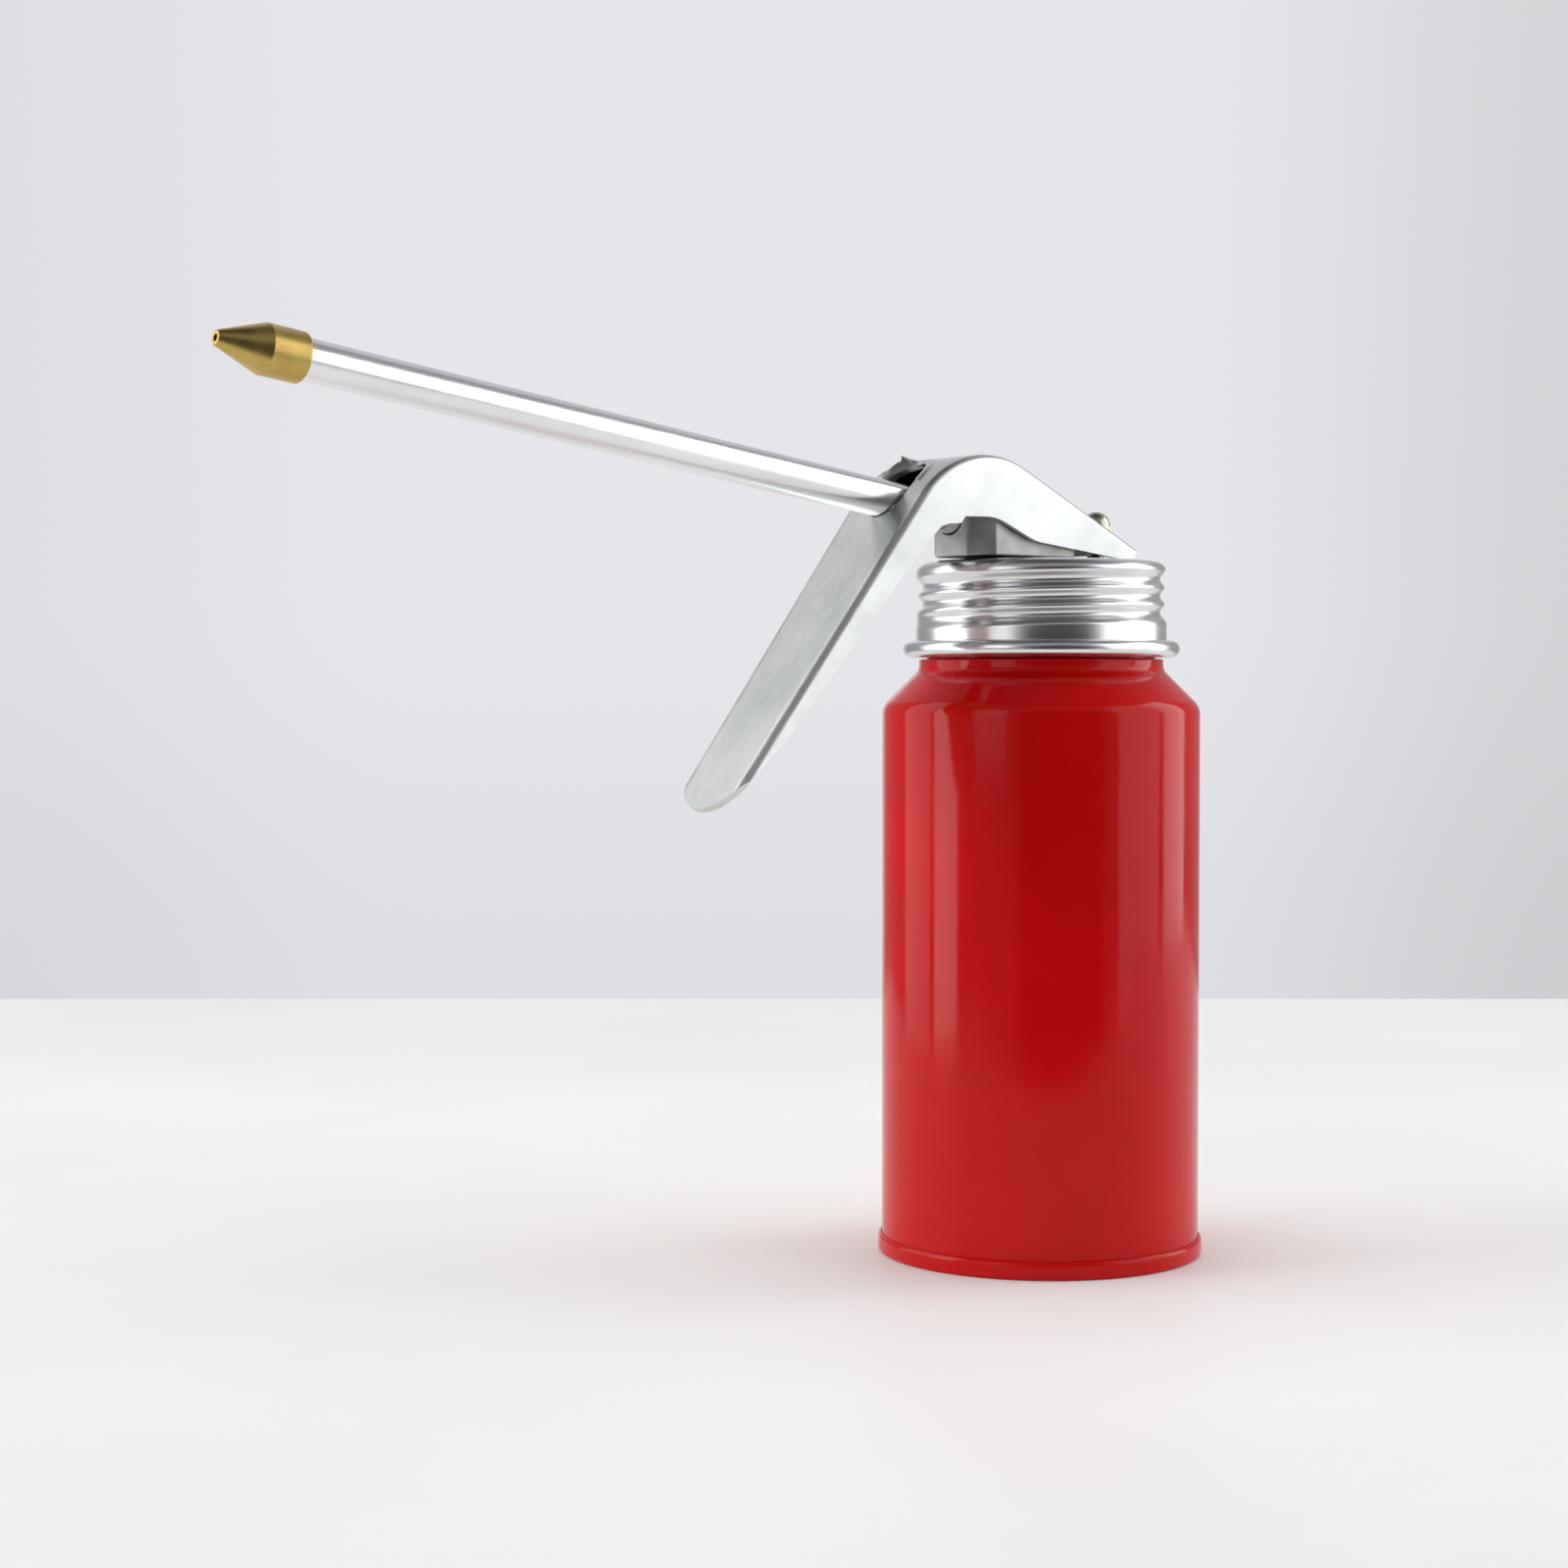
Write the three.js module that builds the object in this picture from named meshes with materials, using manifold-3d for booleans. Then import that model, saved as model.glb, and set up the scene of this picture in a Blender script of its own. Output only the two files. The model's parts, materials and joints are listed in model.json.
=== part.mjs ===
// Pump oil can: a red seamed can, a screw cap that carries a small force pump with a long spout,
// and a pressed steel trigger lever that rocks on its heel and pushes the plunger.
// Millimetres, +Z up, the can stands on z = 0, the spout points to -X.
// Inside the assembly group the can's axis is x = 0. The group is shifted so that the origin lies
// under the middle of the whole object.
import * as THREE from "three";
import { mergeVertices, toCreasedNormals } from "three/addons/utils/BufferGeometryUtils.js";
import Module from "manifold-3d";

const wasm = await Module();
wasm.setup();

// Driving dimensions of the can
const CAN_D = 52.4;
const CAN_SHEET = 0.6;
const SHOULDER_Z = 89;
const SHOULDER_FILLET = 3.2;
const NECK_D = 40.3;
const NECK_FILLET = 2.2;
const SHOULDER_RISE = 8.3;
const NECK_L = 0.8;
const SEAM_PROUD = 0.6;
const SEAM_H = 3;
const SEAM_SHEET = 0.6;
const BOTTOM_RECESS = 2.4;

// Driving dimensions of the screw cap
const CAP_H = 15.7;
const CAP_D = 41.3;
const CAP_SHEET = 0.6;
const CAP_CORNER_R = 2;
const CAP_CURL_D = 2.7;
const CAP_CURL_INSET = 0.55;
const THREAD_PITCH = 2.75;
const THREAD_ROLL_R = 1.1;
const THREAD_DEPTH = 1.2;
const THREAD_FIRST_H = 6.15;
const THREAD_TURNS = 2.6;
const THREAD_START = THREE.MathUtils.degToRad(-200);
const GASKET_T = 0.85;
const GASKET_W = 1.1;

// Driving dimensions of the pump block
const PUMP_X = -7.5;
const BLOCK_FRONT_X = -19.8;
const BLOCK_L = 20.6;
const BLOCK_CORNER = 3.2;
const BLOCK_WASHER_T = 0.5;
const BLOCK_WASHER_INSET = 0.25;
const BLOCK_H = 6.8;
const SOCKET_WALL = 1.1;
const STEM_D = 12;
const STEM_L = 16.5;
const CHAMBER_D = 6.8;
const LOCK_NUT_AF = 16;
const LOCK_NUT_T = 4;
const LOCK_WASHER_D = 16.6;
const LOCK_WASHER_T = 0.8;

// Driving dimensions of the plunger, its seal and the valves
const PLUNGER_D = 5;
const PLUNGER_DOME_R = 3.2;
const PLUNGER_FOOT_DROP = 6.1;
const PLUNGER_FOOT_T = 2;
const PLUNGER_SPIGOT_D = 3;
const PLUNGER_SPIGOT_L = 1.2;
const SEAL_BORE_D = 8;
const SEAL_SECTION = 1.4;
const GLAND_T = 0.6;
const SPRING_WIRE_D = 0.6;
const SPRING_D = 5.9;
const SPRING_CURLS = 5;
const INLET_BALL_D = 4;
const INLET_PORT_D = 3;
const INLET_SEAT_D = 9;
const INLET_SEAT_L = 3;
const INLET_FLANGE_AF = 11;
const INLET_FLANGE_T = 2;
const DIP_TUBE_D = 6;
const DIP_TUBE_BORE_D = 4;
const DIP_TUBE_CLEAR = 5;
const DIP_SPIGOT_L = 8;
const OUTLET_BALL_D = 3;
const OUTLET_PORT_D = 2;
const OUTLET_LIFT = 1.2;
const BALL_STOP_L = 2;
const BALL_STOP_BORE_D = 1.8;

// Driving dimensions of the spout
const SPOUT_D = 6;
const SPOUT_BORE_D = 4;
const SPOUT_RISE = THREE.MathUtils.degToRad(8.26);
const SPOUT_H = 6.565;
const SPOUT_L = 131.57;
const SOCKET_L = 6.63;
const NOZZLE_D = 7.3;
const NOZZLE_BODY_L = 5.9;
const NOZZLE_CONE_L = 7;
const NOZZLE_TIP_D = 2.1;
const NOZZLE_HOLE_D = 1;
const NOZZLE_GRIP_L = 4.6;
const NOZZLE_CHAMFER = 0.4;

// Driving dimensions of the lever
const LEVER_SHEET = 1;
const LEVER_W = 17.2;
const LEVER_TIP_W = 14.5;
const LEVER_BEND_R = 1.2;
const LEVER_APEX_X = -18.9;
const LEVER_H = 16.35;
const LEVER_APEX_R = 18;
const LEVER_BACK_SLOPE = THREE.MathUtils.degToRad(26);
const LEVER_FRONT_SLOPE = THREE.MathUtils.degToRad(52.3);
const LEVER_FRONT_L = 61;
const LEVER_BACK_X = 13.9;
const LEVER_DEEPEST = 13;
const LEVER_HEEL_LIFT = 0.3;
const SLOT_W = 7.6;
const SLOT_PLAY_UNDER = 0.15;
const SLOT_PLAY_OVER = 3.95;
const SLOT_LIP_T = 0.9;
const SLOT_LIP_H = 1.5;

// Driving dimensions of the fulcrum stud and its nuts
const STUD_X = 12.5;
const STUD_D = 3;
const STUD_COLLAR_D = 5;
const STUD_COLLAR_T = 0.8;
const DOME_NUT_AF = 5;
const DOME_NUT_BALL_R = 2.5;
const DOME_NUT_LIFT = 3.5;
const DOME_NUT_H = 5.3;
const DOME_D = 4.8;
const STUD_NUT_AF = 5.5;
const STUD_NUT_T = 2.4;
const STUD_WASHER_D = 6.4;
const STUD_WASHER_T = 0.5;

// Fits and gaps
const SEAM_GAP = 0.05;
const NECK_GAP = 0.3;
const BLOCK_SIDE_GAP = 0.35;
const RIM_GAP = 0.05;
const SCREW_GAP = 0.15;
const SLIDE_GAP = 0.1;
const TUBE_GAP = 0.2;
const TOUCH = 0.05;

// Smoothness, in flat faces to a turn
const CAN_SIDES = 40;
const TURNED_SIDES = 20;
const SMALL_SIDES = 12;
const THREAD_STEPS = 30;
const ROLL_SIDES = 8;
const SPRING_STEPS = 8;
const SPRING_SIDES = 5;

// Solids from three.js geometry, and back
function solid(geometry) {
  const bare = geometry.clone();
  bare.deleteAttribute("normal");
  bare.deleteAttribute("uv");
  const merged = mergeVertices(bare, 1e-4);
  const build = (triVerts) =>
    new wasm.Manifold(
      new wasm.Mesh({ numProp: 3, vertProperties: merged.attributes.position.array, triVerts }),
    );
  const made = build(new Uint32Array(merged.index.array));
  return made.volume() > 0 ? made : build(new Uint32Array(merged.index.array).reverse());
}

function geometryOf(made) {
  const mesh = made.getMesh();
  const geometry = new THREE.BufferGeometry();
  geometry.setAttribute("position", new THREE.BufferAttribute(mesh.vertProperties, 3));
  geometry.setIndex(new THREE.BufferAttribute(mesh.triVerts, 1));
  return toCreasedNormals(geometry, 0.6);
}

// A profile of [radius, height] points turned about the Z axis
function turned(profile, sides) {
  const points = profile.map(([r, z]) => new THREE.Vector2(r, z));
  return solid(new THREE.LatheGeometry(points, sides).rotateX(Math.PI / 2));
}

function disc(diameter, z0, z1, sides = TURNED_SIDES) {
  const r = diameter / 2;
  return turned([[0, z0], [r, z0], [r, z1], [0, z1]], sides);
}

function ring(outerD, innerD, z0, z1, sides = TURNED_SIDES) {
  const [a, b] = [innerD / 2, outerD / 2];
  return turned([[a, z0], [b, z0], [b, z1], [a, z1], [a, z0]], sides);
}

function hexagon(acrossFlats, z0, z1) {
  const r = acrossFlats / Math.sqrt(3);
  const geometry = new THREE.CylinderGeometry(r, r, z1 - z0, 6);
  return solid(geometry.rotateX(Math.PI / 2).translate(0, 0, (z0 + z1) / 2));
}

// Points on a round corner of a profile, from one angle to another
function arc(cx, cz, r, from, to, steps = 4) {
  return Array.from({ length: steps + 1 }, (_, i) => {
    const a = THREE.MathUtils.degToRad(from + ((to - from) * i) / steps);
    return [cx + r * Math.cos(a), cz + r * Math.sin(a)];
  });
}

// An outline in the XZ plane given thickness along Y, both sides of the middle plane
function plate(outline, thickness) {
  const shape =
    outline instanceof THREE.Shape
      ? outline
      : new THREE.Shape(outline.map(([x, z]) => new THREE.Vector2(x, z)));
  const geometry = new THREE.ExtrudeGeometry(shape, {
    depth: thickness,
    bevelEnabled: false,
    curveSegments: 8,
  });
  return solid(geometry.translate(0, 0, -thickness / 2).rotateX(Math.PI / 2));
}

class Helix extends THREE.Curve {
  constructor(radius, pitch, turns, z0, start = 0) {
    super();
    Object.assign(this, { radius, pitch, turns, z0, start });
  }
  getPoint(t, target = new THREE.Vector3()) {
    const a = this.start + t * this.turns * 2 * Math.PI;
    const z = this.z0 + t * this.turns * this.pitch;
    return target.set(this.radius * Math.cos(a), this.radius * Math.sin(a), z);
  }
}

function roundBar(path, radius, steps, sides) {
  const section = new THREE.Shape(
    Array.from({ length: sides }, (_, i) => {
      const a = (i / sides) * 2 * Math.PI;
      return new THREE.Vector2(radius * Math.cos(a), radius * Math.sin(a));
    }),
  );
  return solid(new THREE.ExtrudeGeometry(section, { steps, extrudePath: path, bevelEnabled: false }));
}

const root = new THREE.Group();
root.name = "pump_oil_can";
const assembly = new THREE.Group();
root.add(assembly);

const finish = {
  redEnamel: { color: 0xb51414, roughness: 0.25, metalness: 0 },
  aluminium: { color: 0xd5d6d9, roughness: 0.3, metalness: 1 },
  zincPlate: { color: 0xd9d9dc, roughness: 0.35, metalness: 1 },
  nickelPlate: { color: 0xdadbde, roughness: 0.15, metalness: 1 },
  zincCasting: { color: 0x9b9b9d, roughness: 0.45, metalness: 1 },
  brass: { color: 0xb9934a, roughness: 0.35, metalness: 1 },
  steel: { color: 0xb8babd, roughness: 0.3, metalness: 1 },
  rubber: { color: 0x1c1c1e, roughness: 0.8, metalness: 0 },
  fibre: { color: 0x4a2f26, roughness: 0.9, metalness: 0 },
  polymer: { color: 0xe4e2da, roughness: 0.5, metalness: 0 },
};

function add(group, name, made, look) {
  const mesh = new THREE.Mesh(geometryOf(made), new THREE.MeshStandardMaterial(finish[look]));
  mesh.name = name;
  group.add(mesh);
  return mesh;
}

// Heights, from the ground up
const panelZ = BOTTOM_RECESS;
const neckFootZ = SHOULDER_Z + SHOULDER_RISE;
const mouthFootZ = neckFootZ + NECK_L;
const capFootZ = mouthFootZ + NECK_GAP;
const capTopZ = capFootZ + CAP_H;
const blockZ = capTopZ + BLOCK_WASHER_T;
const blockTopZ = blockZ + BLOCK_H;
const spoutZ = blockZ + SPOUT_H;
const plungerFootZ = blockZ - PLUNGER_FOOT_DROP;
const leverApexZ = capTopZ + LEVER_H;
const domeNutFootZ = capTopZ + DOME_NUT_LIFT;
const domeNutTopZ = domeNutFootZ + DOME_NUT_H;

// Screw thread: a groove rolled into the cap's wall from outside. The inside of the wall and the
// neck of the can are left plain, with a running gap between them.
const capR = CAP_D / 2;
const grooveFloorR = capR - THREAD_DEPTH;
const capInnerR = grooveFloorR - CAP_SHEET;
const threadPath = new Helix(
  grooveFloorR + THREAD_ROLL_R,
  THREAD_PITCH,
  THREAD_TURNS,
  capFootZ + THREAD_FIRST_H,
  THREAD_START,
);
const threadGroove = roundBar(
  threadPath,
  THREAD_ROLL_R,
  Math.round(THREAD_TURNS * THREAD_STEPS),
  ROLL_SIDES,
);

// Can: drawn shell with a 45 degree shoulder, and the seamed bottom end
const canR = CAN_D / 2;
const neckR = NECK_D / 2;
const capInnerTopZ = capTopZ - CAP_SHEET;
const rimZ = capInnerTopZ - GASKET_T - RIM_GAP;
const mouthR = capInnerR - NECK_GAP;
const mouthInnerR = mouthR - CAN_SHEET;
const shellInnerR = canR - CAN_SHEET;
const shellFootZ = SEAM_SHEET + SEAM_GAP;

// The sheet's outline from the foot of the shoulder to the neck, on its outside or inset from it
function shoulder(inset) {
  return [
    ...arc(canR - SHOULDER_FILLET, SHOULDER_Z, SHOULDER_FILLET - inset, 0, 45, 3),
    ...arc(neckR + NECK_FILLET, neckFootZ, NECK_FILLET + inset, 225, 180, 3),
  ];
}

const canShell = turned(
  [
    [shellInnerR, shellFootZ],
    [canR, shellFootZ],
    ...shoulder(0),
    [neckR, mouthFootZ],
    [mouthR, mouthFootZ],
    [mouthR, rimZ],
    [mouthInnerR, rimZ],
    [mouthInnerR, mouthFootZ - CAN_SHEET],
    [neckR - CAN_SHEET, mouthFootZ - CAN_SHEET],
    ...shoulder(CAN_SHEET).reverse(),
    [shellInnerR, shellFootZ],
  ],
  CAN_SIDES,
);
add(assembly, "can_shell", canShell, "redEnamel");

const seamR = canR + SEAM_PROUD;
const countersinkR = shellInnerR - SEAM_GAP - SEAM_SHEET;
const canBottom = turned(
  [
    [0, panelZ],
    [countersinkR - 0.6, panelZ],
    [countersinkR, panelZ - 0.6],
    [countersinkR, 0],
    [canR - 0.1, 0],
    ...arc(seamR - 0.8, 0.8, 0.8, -45, 0, 2),
    ...arc(seamR - 0.5, SEAM_H - 0.5, 0.5, 0, 70, 2),
    [canR + SEAM_GAP, SEAM_H - 0.3],
    [canR + SEAM_GAP, SEAM_SHEET],
    [shellInnerR - SEAM_GAP, SEAM_SHEET],
    [shellInnerR - SEAM_GAP, panelZ + SEAM_SHEET + 0.4],
    [countersinkR, panelZ + SEAM_SHEET],
    [0, panelZ + SEAM_SHEET],
  ],
  CAN_SIDES,
);
add(assembly, "can_bottom", canBottom, "redEnamel");

// Screw cap with its curled rim and rolled thread. The curl ends where its round meets the wall.
const curlR = CAP_CURL_D / 2;
const curlEnd = THREE.MathUtils.radToDeg(Math.acos(CAP_CURL_INSET / curlR - 1));
const capBlank = turned(
  [
    [0, capFootZ],
    [capR, capFootZ],
    ...arc(capR + curlR - CAP_CURL_INSET, capFootZ + curlR, curlR, -90, curlEnd, 8),
    ...arc(capR - CAP_CORNER_R, capTopZ - CAP_CORNER_R, CAP_CORNER_R, 0, 90, 3),
    [0, capTopZ],
  ],
  CAN_SIDES,
);
const capHollow = disc(2 * capInnerR, capFootZ - 1, capInnerTopZ, CAN_SIDES);
const stemHole = disc(STEM_D + 2 * SCREW_GAP, capFootZ, capTopZ + 1).translate(PUMP_X, 0, 0);
const studHole = disc(STUD_D + 2 * SCREW_GAP, capFootZ, capTopZ + 1).translate(STUD_X, 0, 0);
const screwCap = capBlank
  .subtract(capHollow)
  .subtract(threadGroove)
  .subtract(stemHole)
  .subtract(studHole);
add(assembly, "screw_cap", screwCap, "aluminium");

const gasketD = 2 * (capInnerR - SCREW_GAP);
add(
  assembly,
  "cap_gasket",
  ring(gasketD, gasketD - 2 * GASKET_W, rimZ + RIM_GAP, capInnerTopZ, CAN_SIDES),
  "rubber",
);

// Spout frame: its origin is where the spout's axis meets the front of the block, +Z along the spout
const spout = new THREE.Group();
spout.position.set(BLOCK_FRONT_X, 0, spoutZ);
spout.rotation.set(0, SPOUT_RISE - Math.PI / 2, 0);
assembly.add(spout);
spout.updateMatrix();
const inSpoutFrame = (made) => made.transform(spout.matrix.toArray());

// Pump block: a casting with its front corners cut off, a hump for the spout socket, a plunger bore
// and a threaded stem
const humpZ = spoutZ + SPOUT_D / 2 + SOCKET_WALL;
const blockBackX = BLOCK_FRONT_X + BLOCK_L;
const sealBoreR = SEAL_BORE_D / 2;
const humpBackX = PUMP_X - sealBoreR - 0.5;
const blockSide = [
  [BLOCK_FRONT_X, blockZ],
  [BLOCK_FRONT_X, humpZ],
  [humpBackX - 1, humpZ - 0.6],
  [humpBackX, blockTopZ],
  [PUMP_X + sealBoreR + 0.5, blockTopZ],
  [blockBackX, blockTopZ - 2],
  [blockBackX, blockZ],
];
const stemFootZ = blockZ - STEM_L;
const socketD = SPOUT_D + 2 * TUBE_GAP;
const chamberTopZ = blockTopZ - GLAND_T - SEAL_SECTION - 2 * TOUCH;
const chamberBore = disc(CHAMBER_D, stemFootZ - 1, chamberTopZ - SLIDE_GAP);
const plungerBore = disc(PLUNGER_D + 2 * SLIDE_GAP, stemFootZ, blockTopZ + 1);
const sealBore = disc(SEAL_BORE_D, chamberTopZ, blockTopZ + 1);
const seatBore = disc(INLET_SEAT_D + 2 * SCREW_GAP, stemFootZ - 1, stemFootZ + INLET_SEAT_L);
const bores = chamberBore.add(plungerBore).add(sealBore).add(seatBore).translate(PUMP_X, 0, 0);
const socket = inSpoutFrame(disc(socketD, -SOCKET_L, 10));

// The outlet port slopes down from the socket's floor into the chamber
const socketFloor = new THREE.Vector3(0, 0, -SOCKET_L).applyMatrix4(spout.matrix);
const portEnd = new THREE.Vector3(PUMP_X, 0, chamberTopZ - 3.5);
const portDirection = portEnd.clone().sub(socketFloor);
const portTurn = new THREE.Matrix4().makeRotationFromQuaternion(
  new THREE.Quaternion().setFromUnitVectors(
    new THREE.Vector3(0, 0, 1),
    portDirection.clone().normalize(),
  ),
);
const port = disc(OUTLET_PORT_D, -0.5, portDirection.length(), SMALL_SIDES).transform(
  portTurn.setPosition(socketFloor).toArray(),
);
const blockW = LEVER_W - 2 * (LEVER_SHEET + BLOCK_SIDE_GAP);
const blockHalfW = blockW / 2;
const blockPlan = new THREE.Shape();
blockPlan.moveTo(BLOCK_FRONT_X, -blockHalfW + BLOCK_CORNER);
blockPlan.lineTo(BLOCK_FRONT_X + BLOCK_CORNER, -blockHalfW);
blockPlan.lineTo(blockBackX, -blockHalfW);
blockPlan.lineTo(blockBackX, blockHalfW);
blockPlan.lineTo(BLOCK_FRONT_X + BLOCK_CORNER, blockHalfW);
blockPlan.lineTo(BLOCK_FRONT_X, blockHalfW - BLOCK_CORNER);
const blockColumn = new THREE.ExtrudeGeometry(blockPlan, {
  depth: humpZ - blockZ,
  bevelEnabled: false,
}).translate(0, 0, blockZ);
const pumpBlock = plate(blockSide, blockW)
  .intersect(solid(blockColumn))
  .add(disc(STEM_D, stemFootZ, blockZ + 1).translate(PUMP_X, 0, 0))
  .subtract(bores)
  .subtract(socket)
  .subtract(port);
add(assembly, "pump_block", pumpBlock, "zincCasting");

const pump = new THREE.Group();
pump.position.x = PUMP_X;
assembly.add(pump);

const stemClearD = STEM_D + 2 * SCREW_GAP;
add(pump, "block_washer", ring(blockW - 2 * BLOCK_WASHER_INSET, stemClearD, capTopZ, blockZ), "fibre");
const lockWasherZ = capInnerTopZ - LOCK_WASHER_T;
add(pump, "lock_washer", ring(LOCK_WASHER_D, stemClearD, lockWasherZ, capInnerTopZ), "steel");
const lockNutZ = lockWasherZ - LOCK_NUT_T;
const lockNut = hexagon(LOCK_NUT_AF, lockNutZ, lockWasherZ).subtract(
  disc(stemClearD, lockNutZ - 1, lockWasherZ + 1),
);
add(pump, "lock_nut", lockNut, "zincPlate");

// Seal of the plunger and the ring pressed in over it
const sealD = SEAL_BORE_D - 2 * TOUCH;
const sealHoleD = PLUNGER_D + 2 * TOUCH;
const sealR = SEAL_SECTION / 2;
const sealMidR = (sealD + sealHoleD) / 4;
const sealHalfW = (sealD - sealHoleD) / 4;
const sealMidZ = chamberTopZ + TOUCH + sealR;
const sealSection = arc(0, 0, 1, 0, 360, 8).map(([x, z]) => [
  sealMidR + x * sealHalfW,
  sealMidZ + z * sealR,
]);
add(pump, "gland_seal", turned(sealSection, TURNED_SIDES), "rubber");
add(
  pump,
  "gland_ring",
  ring(sealD, PLUNGER_D + 2 * SLIDE_GAP, blockTopZ - GLAND_T, blockTopZ),
  "brass",
);

// Lever: path of the web's outer face in the XZ plane, from the heel over the apex to the tip
const apexCentre = new THREE.Vector3(LEVER_APEX_X, 0, leverApexZ - LEVER_APEX_R);
const backNormal = new THREE.Vector3(Math.sin(LEVER_BACK_SLOPE), 0, Math.cos(LEVER_BACK_SLOPE));
const backAlong = new THREE.Vector3(backNormal.z, 0, -backNormal.x);
const frontNormal = new THREE.Vector3(-Math.sin(LEVER_FRONT_SLOPE), 0, Math.cos(LEVER_FRONT_SLOPE));
const frontAlong = new THREE.Vector3(-frontNormal.z, 0, frontNormal.x);
const backBend = apexCentre.clone().addScaledVector(backNormal, LEVER_APEX_R);
const frontBend = apexCentre.clone().addScaledVector(frontNormal, LEVER_APEX_R);
const backLength = (LEVER_BACK_X - backBend.x) / backAlong.x;
const overrun = 4;
const onBack = (along, out = 0) =>
  backBend.clone().addScaledVector(backAlong, along).addScaledVector(backNormal, out);
const onFront = (along, out = 0) =>
  frontBend.clone().addScaledVector(frontAlong, along).addScaledVector(frontNormal, out);

class WebLine extends THREE.Curve {
  constructor() {
    super();
    this.back = backLength + overrun;
    this.round = LEVER_APEX_R * (LEVER_BACK_SLOPE + LEVER_FRONT_SLOPE);
    this.front = LEVER_FRONT_L + overrun;
  }
  getPoint(t, target = new THREE.Vector3()) {
    const s = t * (this.back + this.round + this.front);
    if (s <= this.back) return target.copy(onBack(this.back - s));
    if (s >= this.back + this.round) return target.copy(onFront(s - this.back - this.round));
    const a = LEVER_BACK_SLOPE - (s - this.back) / LEVER_APEX_R;
    const normal = new THREE.Vector3(Math.sin(a), 0, Math.cos(a));
    return target.copy(apexCentre).addScaledVector(normal, LEVER_APEX_R);
  }
}

// Section of the pressed channel: the web's outer face on y = 0 and two flanges
function channelSection() {
  const half = LEVER_W / 2;
  const bend = LEVER_BEND_R;
  const inner = half - LEVER_SHEET;
  const innerBend = bend - LEVER_SHEET;
  const section = new THREE.Shape();
  section.moveTo(-half, -LEVER_DEEPEST);
  section.lineTo(-half, -bend);
  section.absarc(-half + bend, -bend, bend, Math.PI, Math.PI / 2, true);
  section.absarc(half - bend, -bend, bend, Math.PI / 2, 0, true);
  section.lineTo(half, -LEVER_DEEPEST);
  section.lineTo(inner, -LEVER_DEEPEST);
  section.absarc(half - bend, -bend, innerBend, 0, Math.PI / 2, false);
  section.absarc(-half + bend, -bend, innerBend, Math.PI / 2, Math.PI, false);
  section.lineTo(-inner, -LEVER_DEEPEST);
  return section;
}

const channel = new THREE.ExtrudeGeometry(channelSection(), {
  steps: 34,
  extrudePath: new WebLine(),
  bevelEnabled: false,
  curveSegments: 3,
});

// The channel narrows evenly along the straight front towards the tip
const leverVertex = new THREE.Vector3();
const channelPoints = channel.getAttribute("position");
for (let i = 0; i < channelPoints.count; i += 1) {
  leverVertex.fromBufferAttribute(channelPoints, i);
  const along = Math.max(0, leverVertex.clone().sub(frontBend).dot(frontAlong));
  const narrowing = 1 - (1 - LEVER_TIP_W / LEVER_W) * (along / LEVER_FRONT_L);
  channelPoints.setY(i, leverVertex.y * narrowing);
}

// Side outline of the pressing: the lower edges of the flanges, both ends, open above the web
const heelZ = capTopZ + LEVER_HEEL_LIFT;
const edge = new THREE.Shape();
const to = (point) => edge.lineTo(point.x, point.z);
edge.moveTo(LEVER_BACK_X, heelZ + 0.4);
edge.lineTo(LEVER_BACK_X, leverApexZ + 10);
edge.lineTo(frontBend.x - 10, leverApexZ + 10);
to(onFront(LEVER_FRONT_L, 10));
to(onFront(LEVER_FRONT_L, -LEVER_SHEET - 0.4));
to(onFront(LEVER_FRONT_L * 0.1, -5.4));
edge.quadraticCurveTo(onFront(0, -5.9).x, onFront(0, -5.9).z, LEVER_APEX_X - 9.2, leverApexZ - 11.3);
edge.lineTo(LEVER_APEX_X - 6.2, leverApexZ - 11.1);
edge.lineTo(LEVER_APEX_X - 5.4, leverApexZ - 10);
edge.lineTo(LEVER_APEX_X - 0.4, leverApexZ - 9.9);
edge.quadraticCurveTo(
  LEVER_APEX_X + 1.6,
  leverApexZ - 10,
  LEVER_APEX_X + 3.4,
  leverApexZ - 10.8,
);
edge.lineTo(LEVER_APEX_X + 8.6, leverApexZ - 13);
edge.quadraticCurveTo(
  LEVER_APEX_X + 10.4,
  leverApexZ - 13.7,
  LEVER_APEX_X + 12.4,
  leverApexZ - 13.8,
);
edge.lineTo(STUD_X - 0.8, heelZ);
edge.lineTo(STUD_X + 0.8, heelZ);

// Plan of the tip: a full round across the end of the trigger
const tipR = LEVER_TIP_W / 2 + 0.2;
const tipBlankL = 2.5 * LEVER_FRONT_L;
const tipBlankW = 2 * LEVER_W;
const tipPlan = new THREE.Shape();
tipPlan.moveTo(-tipBlankL, -tipBlankW);
tipPlan.lineTo(LEVER_FRONT_L - tipR, -tipBlankW);
tipPlan.lineTo(LEVER_FRONT_L - tipR, -tipR);
tipPlan.absarc(LEVER_FRONT_L - tipR, 0, tipR, -Math.PI / 2, Math.PI / 2, false);
tipPlan.lineTo(LEVER_FRONT_L - tipR, tipBlankW);
tipPlan.lineTo(-tipBlankL, tipBlankW);
const tipBlank = new THREE.ExtrudeGeometry(tipPlan, {
  depth: 2 * tipBlankL,
  bevelEnabled: false,
  curveSegments: 16,
}).translate(0, 0, -tipBlankL);
const sideways = new THREE.Vector3().crossVectors(frontNormal, frontAlong);
tipBlank.applyMatrix4(
  new THREE.Matrix4().makeBasis(frontAlong, sideways, frontNormal).setPosition(frontBend),
);

// Slot for the spout, cut along the spout, with a lip raised round its upper end
const slotR = SLOT_W / 2;
const slotLowZ = slotR - SPOUT_D / 2 - SLOT_PLAY_UNDER;
const slotHighZ = SPOUT_D / 2 + SLOT_PLAY_OVER - slotR;
const slotDepth = 40;

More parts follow.
